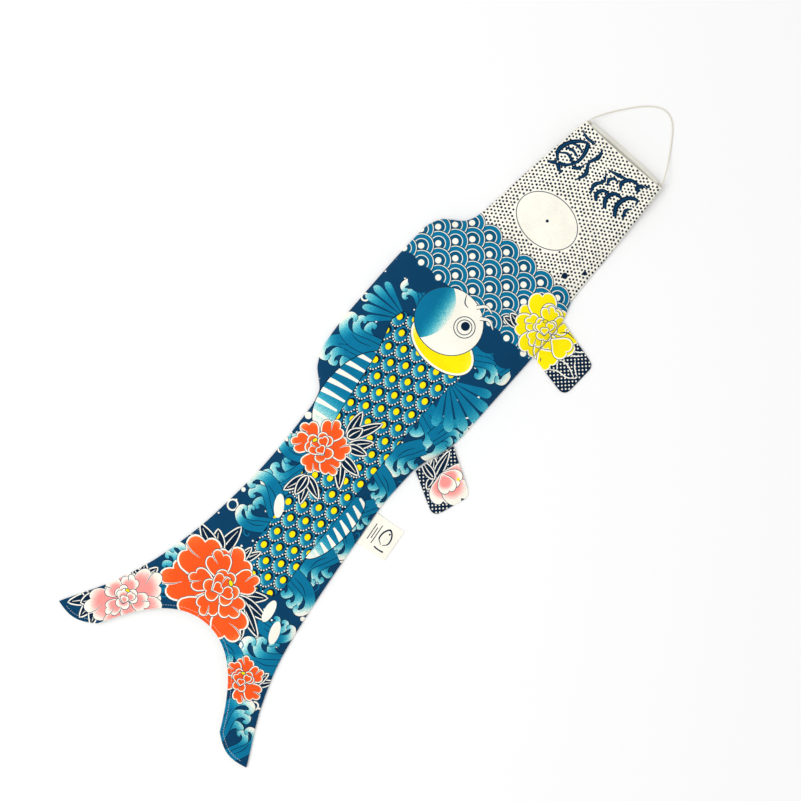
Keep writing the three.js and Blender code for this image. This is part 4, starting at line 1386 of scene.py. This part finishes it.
hem("top_front_hem_fold", 1, "front", ("top_lobe_front_hem", "fork_front_hem"))
hem("top_back_hem_fold", 1, "back", ("top_lobe_back_hem",))
hem("bottom_front_hem_fold", -1, "front", ("bottom_lobe_front_hem",))
hem("bottom_back_hem_fold", -1, "back", ("bottom_lobe_back_hem", "fork_back_hem"))


def stitches(name, line, place, sink, length=2.5, gap=1.3):
    """A row of short stitches lying in the cloth along a line on it."""
    line = evenly(line, 0.25)
    count = int(len(line) * 0.25 // (length + gap))
    bm = bmesh.new()
    for k in range(count):
        at = np.array([0, 0.5, 1]) * length + k * (length + gap)
        on_line = line[np.clip((at / 0.25).astype(int), 0, len(line) - 1)]
        points = place(on_line)
        points[[0, 2], 2] -= sink * 0.22 * MM
        points[1, 2] += sink * 0.16 * MM
        sweep(bm, points, 0.26 * MM, sides=5)
    return new_piece(name, bm, overlock_cotton)


for side, word in ((1, "top"), (-1, "bottom")):
    line = tail_line[:-2] * (1, side)
    tangent = np.gradient(line, axis=0)
    tangent /= np.linalg.norm(tangent, axis=1)[:, None]
    inward = np.column_stack([-tangent[:, 1], tangent[:, 0]])
    inward = np.where((inward[:, 0] < 0)[:, None], -inward, inward)
    for face, place, sink in (("front", on_front, 1), ("back", on_back, -1)):
        row = stitches(f"{word}_tail_stitches_{face}", line + inward * 4.8, place, sink)
        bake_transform(row)
for face, place, sink in (("front", on_front, 1), ("back", on_back, -1)):
    row = stitches(f"mouth_stitches_{face}", np.array([(-13.0, -69), (-13.0, 69)]), place, sink)
    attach(row, "head")


# ---- mouth hoop ----
# A flat strip of springy white boning, its ends joined in a sleeve, lies inside a casing turned in at the
# mouth's edge, and holds the mouth open.
def plastic(name, colour, roughness):
    material = bpy.data.materials.new(name)
    material.use_nodes = True
    shader = material.node_tree.nodes["Principled BSDF"]
    shader.inputs["Base Color"].default_value = (*colour, 1)
    shader.inputs["Roughness"].default_value = roughness
    shader.inputs["Subsurface Weight"].default_value = 0.1
    shader.inputs["Subsurface Radius"].default_value = (0.002, 0.002, 0.002)
    return material


boning = plastic("white_boning", (0.86, 0.86, 0.83), 0.42)
for node in ("mouth_hoop", "hoop_sleeve"):
    strip_piece = frame["nodes"][node]
    strip_piece.data.materials.clear()
    strip_piece.data.materials.append(boning)

hoop_low, hoop_high = (np.array(corner) / MM - (mouth_x / MM, 0, 0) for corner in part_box("mouth_hoop"))
lean = math.radians(27)
hoop_middle = (hoop_low + hoop_high) / 2
hoop_tall = ((hoop_high[2] - hoop_low[2]) / 2 - 0.6 * math.cos(lean) - 2.5 * math.sin(lean)) / math.cos(lean)


def casing(name, side, node):
    columns = []
    for y in np.linspace(-62, 62, 49):
        turn = math.asin(y / 69.0)
        up = np.array((-math.sin(lean), math.cos(lean))) * side
        flatways = np.array((math.cos(lean), math.sin(lean)))
        middle = np.array((hoop_middle[0], hoop_middle[2])) + up * hoop_tall * math.cos(turn)
        place = on_front if side > 0 else on_back
        front, back = (place(np.array([(x, y)]))[0] for x in (-0.9, -13.8))
        ends = [(np.array((p[0] - mouth_x, p[2])) / MM) - (0, side * 0.75) for p in (front, back)]
        section = [ends[0], middle + flatways * 3.3 - up * 1.2, middle - up * 1.5,
                   middle - flatways * 3.3 - up * 1.2, ends[1]]
        columns.append([(x, y, z) for x, z in smooth_line(section, 4)])
    grid_of = np.array(columns)
    shift = np.array((0, 0, -0.45 * side))
    bm = bmesh.new()
    layers = [[[bm.verts.new(tuple(p * MM + (mouth_x, 0, 0))) for p in column] for column in layer]
              for layer in (grid_of, grid_of + shift)]
    wide, deep = len(columns), len(columns[0])
    for layer in layers:
        for i in range(wide - 1):
            for j in range(deep - 1):
                bm.faces.new((layer[i][j], layer[i + 1][j], layer[i + 1][j + 1], layer[i][j + 1]))
    edge = ([(i, 0) for i in range(wide)] + [(wide - 1, j) for j in range(1, deep)]
            + [(i, deep - 1) for i in range(wide - 2, -1, -1)] + [(0, j) for j in range(deep - 2, 0, -1)])
    for (i, j), (k, m) in zip(edge, edge[1:] + edge[:1]):
        bm.faces.new((layers[0][i][j], layers[0][k][m], layers[1][k][m], layers[1][i][j]))
    bmesh.ops.recalc_face_normals(bm, faces=bm.faces)
    for face in bm.faces:
        face.smooth = True
    piece = new_piece(name, bm, plain_cotton)
    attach(piece, "head")
    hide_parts(node)


casing("mouth_casing_front_fold", 1, "mouth_casing_front")
casing("mouth_casing_back_fold", -1, "mouth_casing_back")

# ---- floor and light ----
# A plain pale floor under a bright sky, and one broad lamp high on the tail side.
world = bpy.data.worlds.new("studio")
bpy.context.scene.world = world
world.use_nodes = True
world.node_tree.nodes["Background"].inputs["Color"].default_value = (1, 1, 1, 1)
world.node_tree.nodes["Background"].inputs["Strength"].default_value = 0.72
bm = bmesh.new()
bmesh.ops.create_grid(bm, x_segments=1, y_segments=1, size=30)
floor_material = bpy.data.materials.new("paper_floor")
floor_material.use_nodes = True
floor_material.node_tree.nodes["Principled BSDF"].inputs["Base Color"].default_value = (0.95, 0.95, 0.95, 1)
floor_material.node_tree.nodes["Principled BSDF"].inputs["Roughness"].default_value = 0.9
floor = new_piece("floor", bm, floor_material)
floor.location.z = -0.0002
key = bpy.data.lights.new("key", "AREA")
key.energy = 62
key.size = 2.5
lamp = bpy.data.objects.new("key", key)
lamp.location = (-1.2, 1.3, 3.2)
lamp.rotation_euler = (Vector((0, 0, 0)) - lamp.location).to_track_quat("-Z", "Y").to_euler()
bpy.context.collection.objects.link(lamp)
bpy.context.scene.view_settings.view_transform = "Standard"
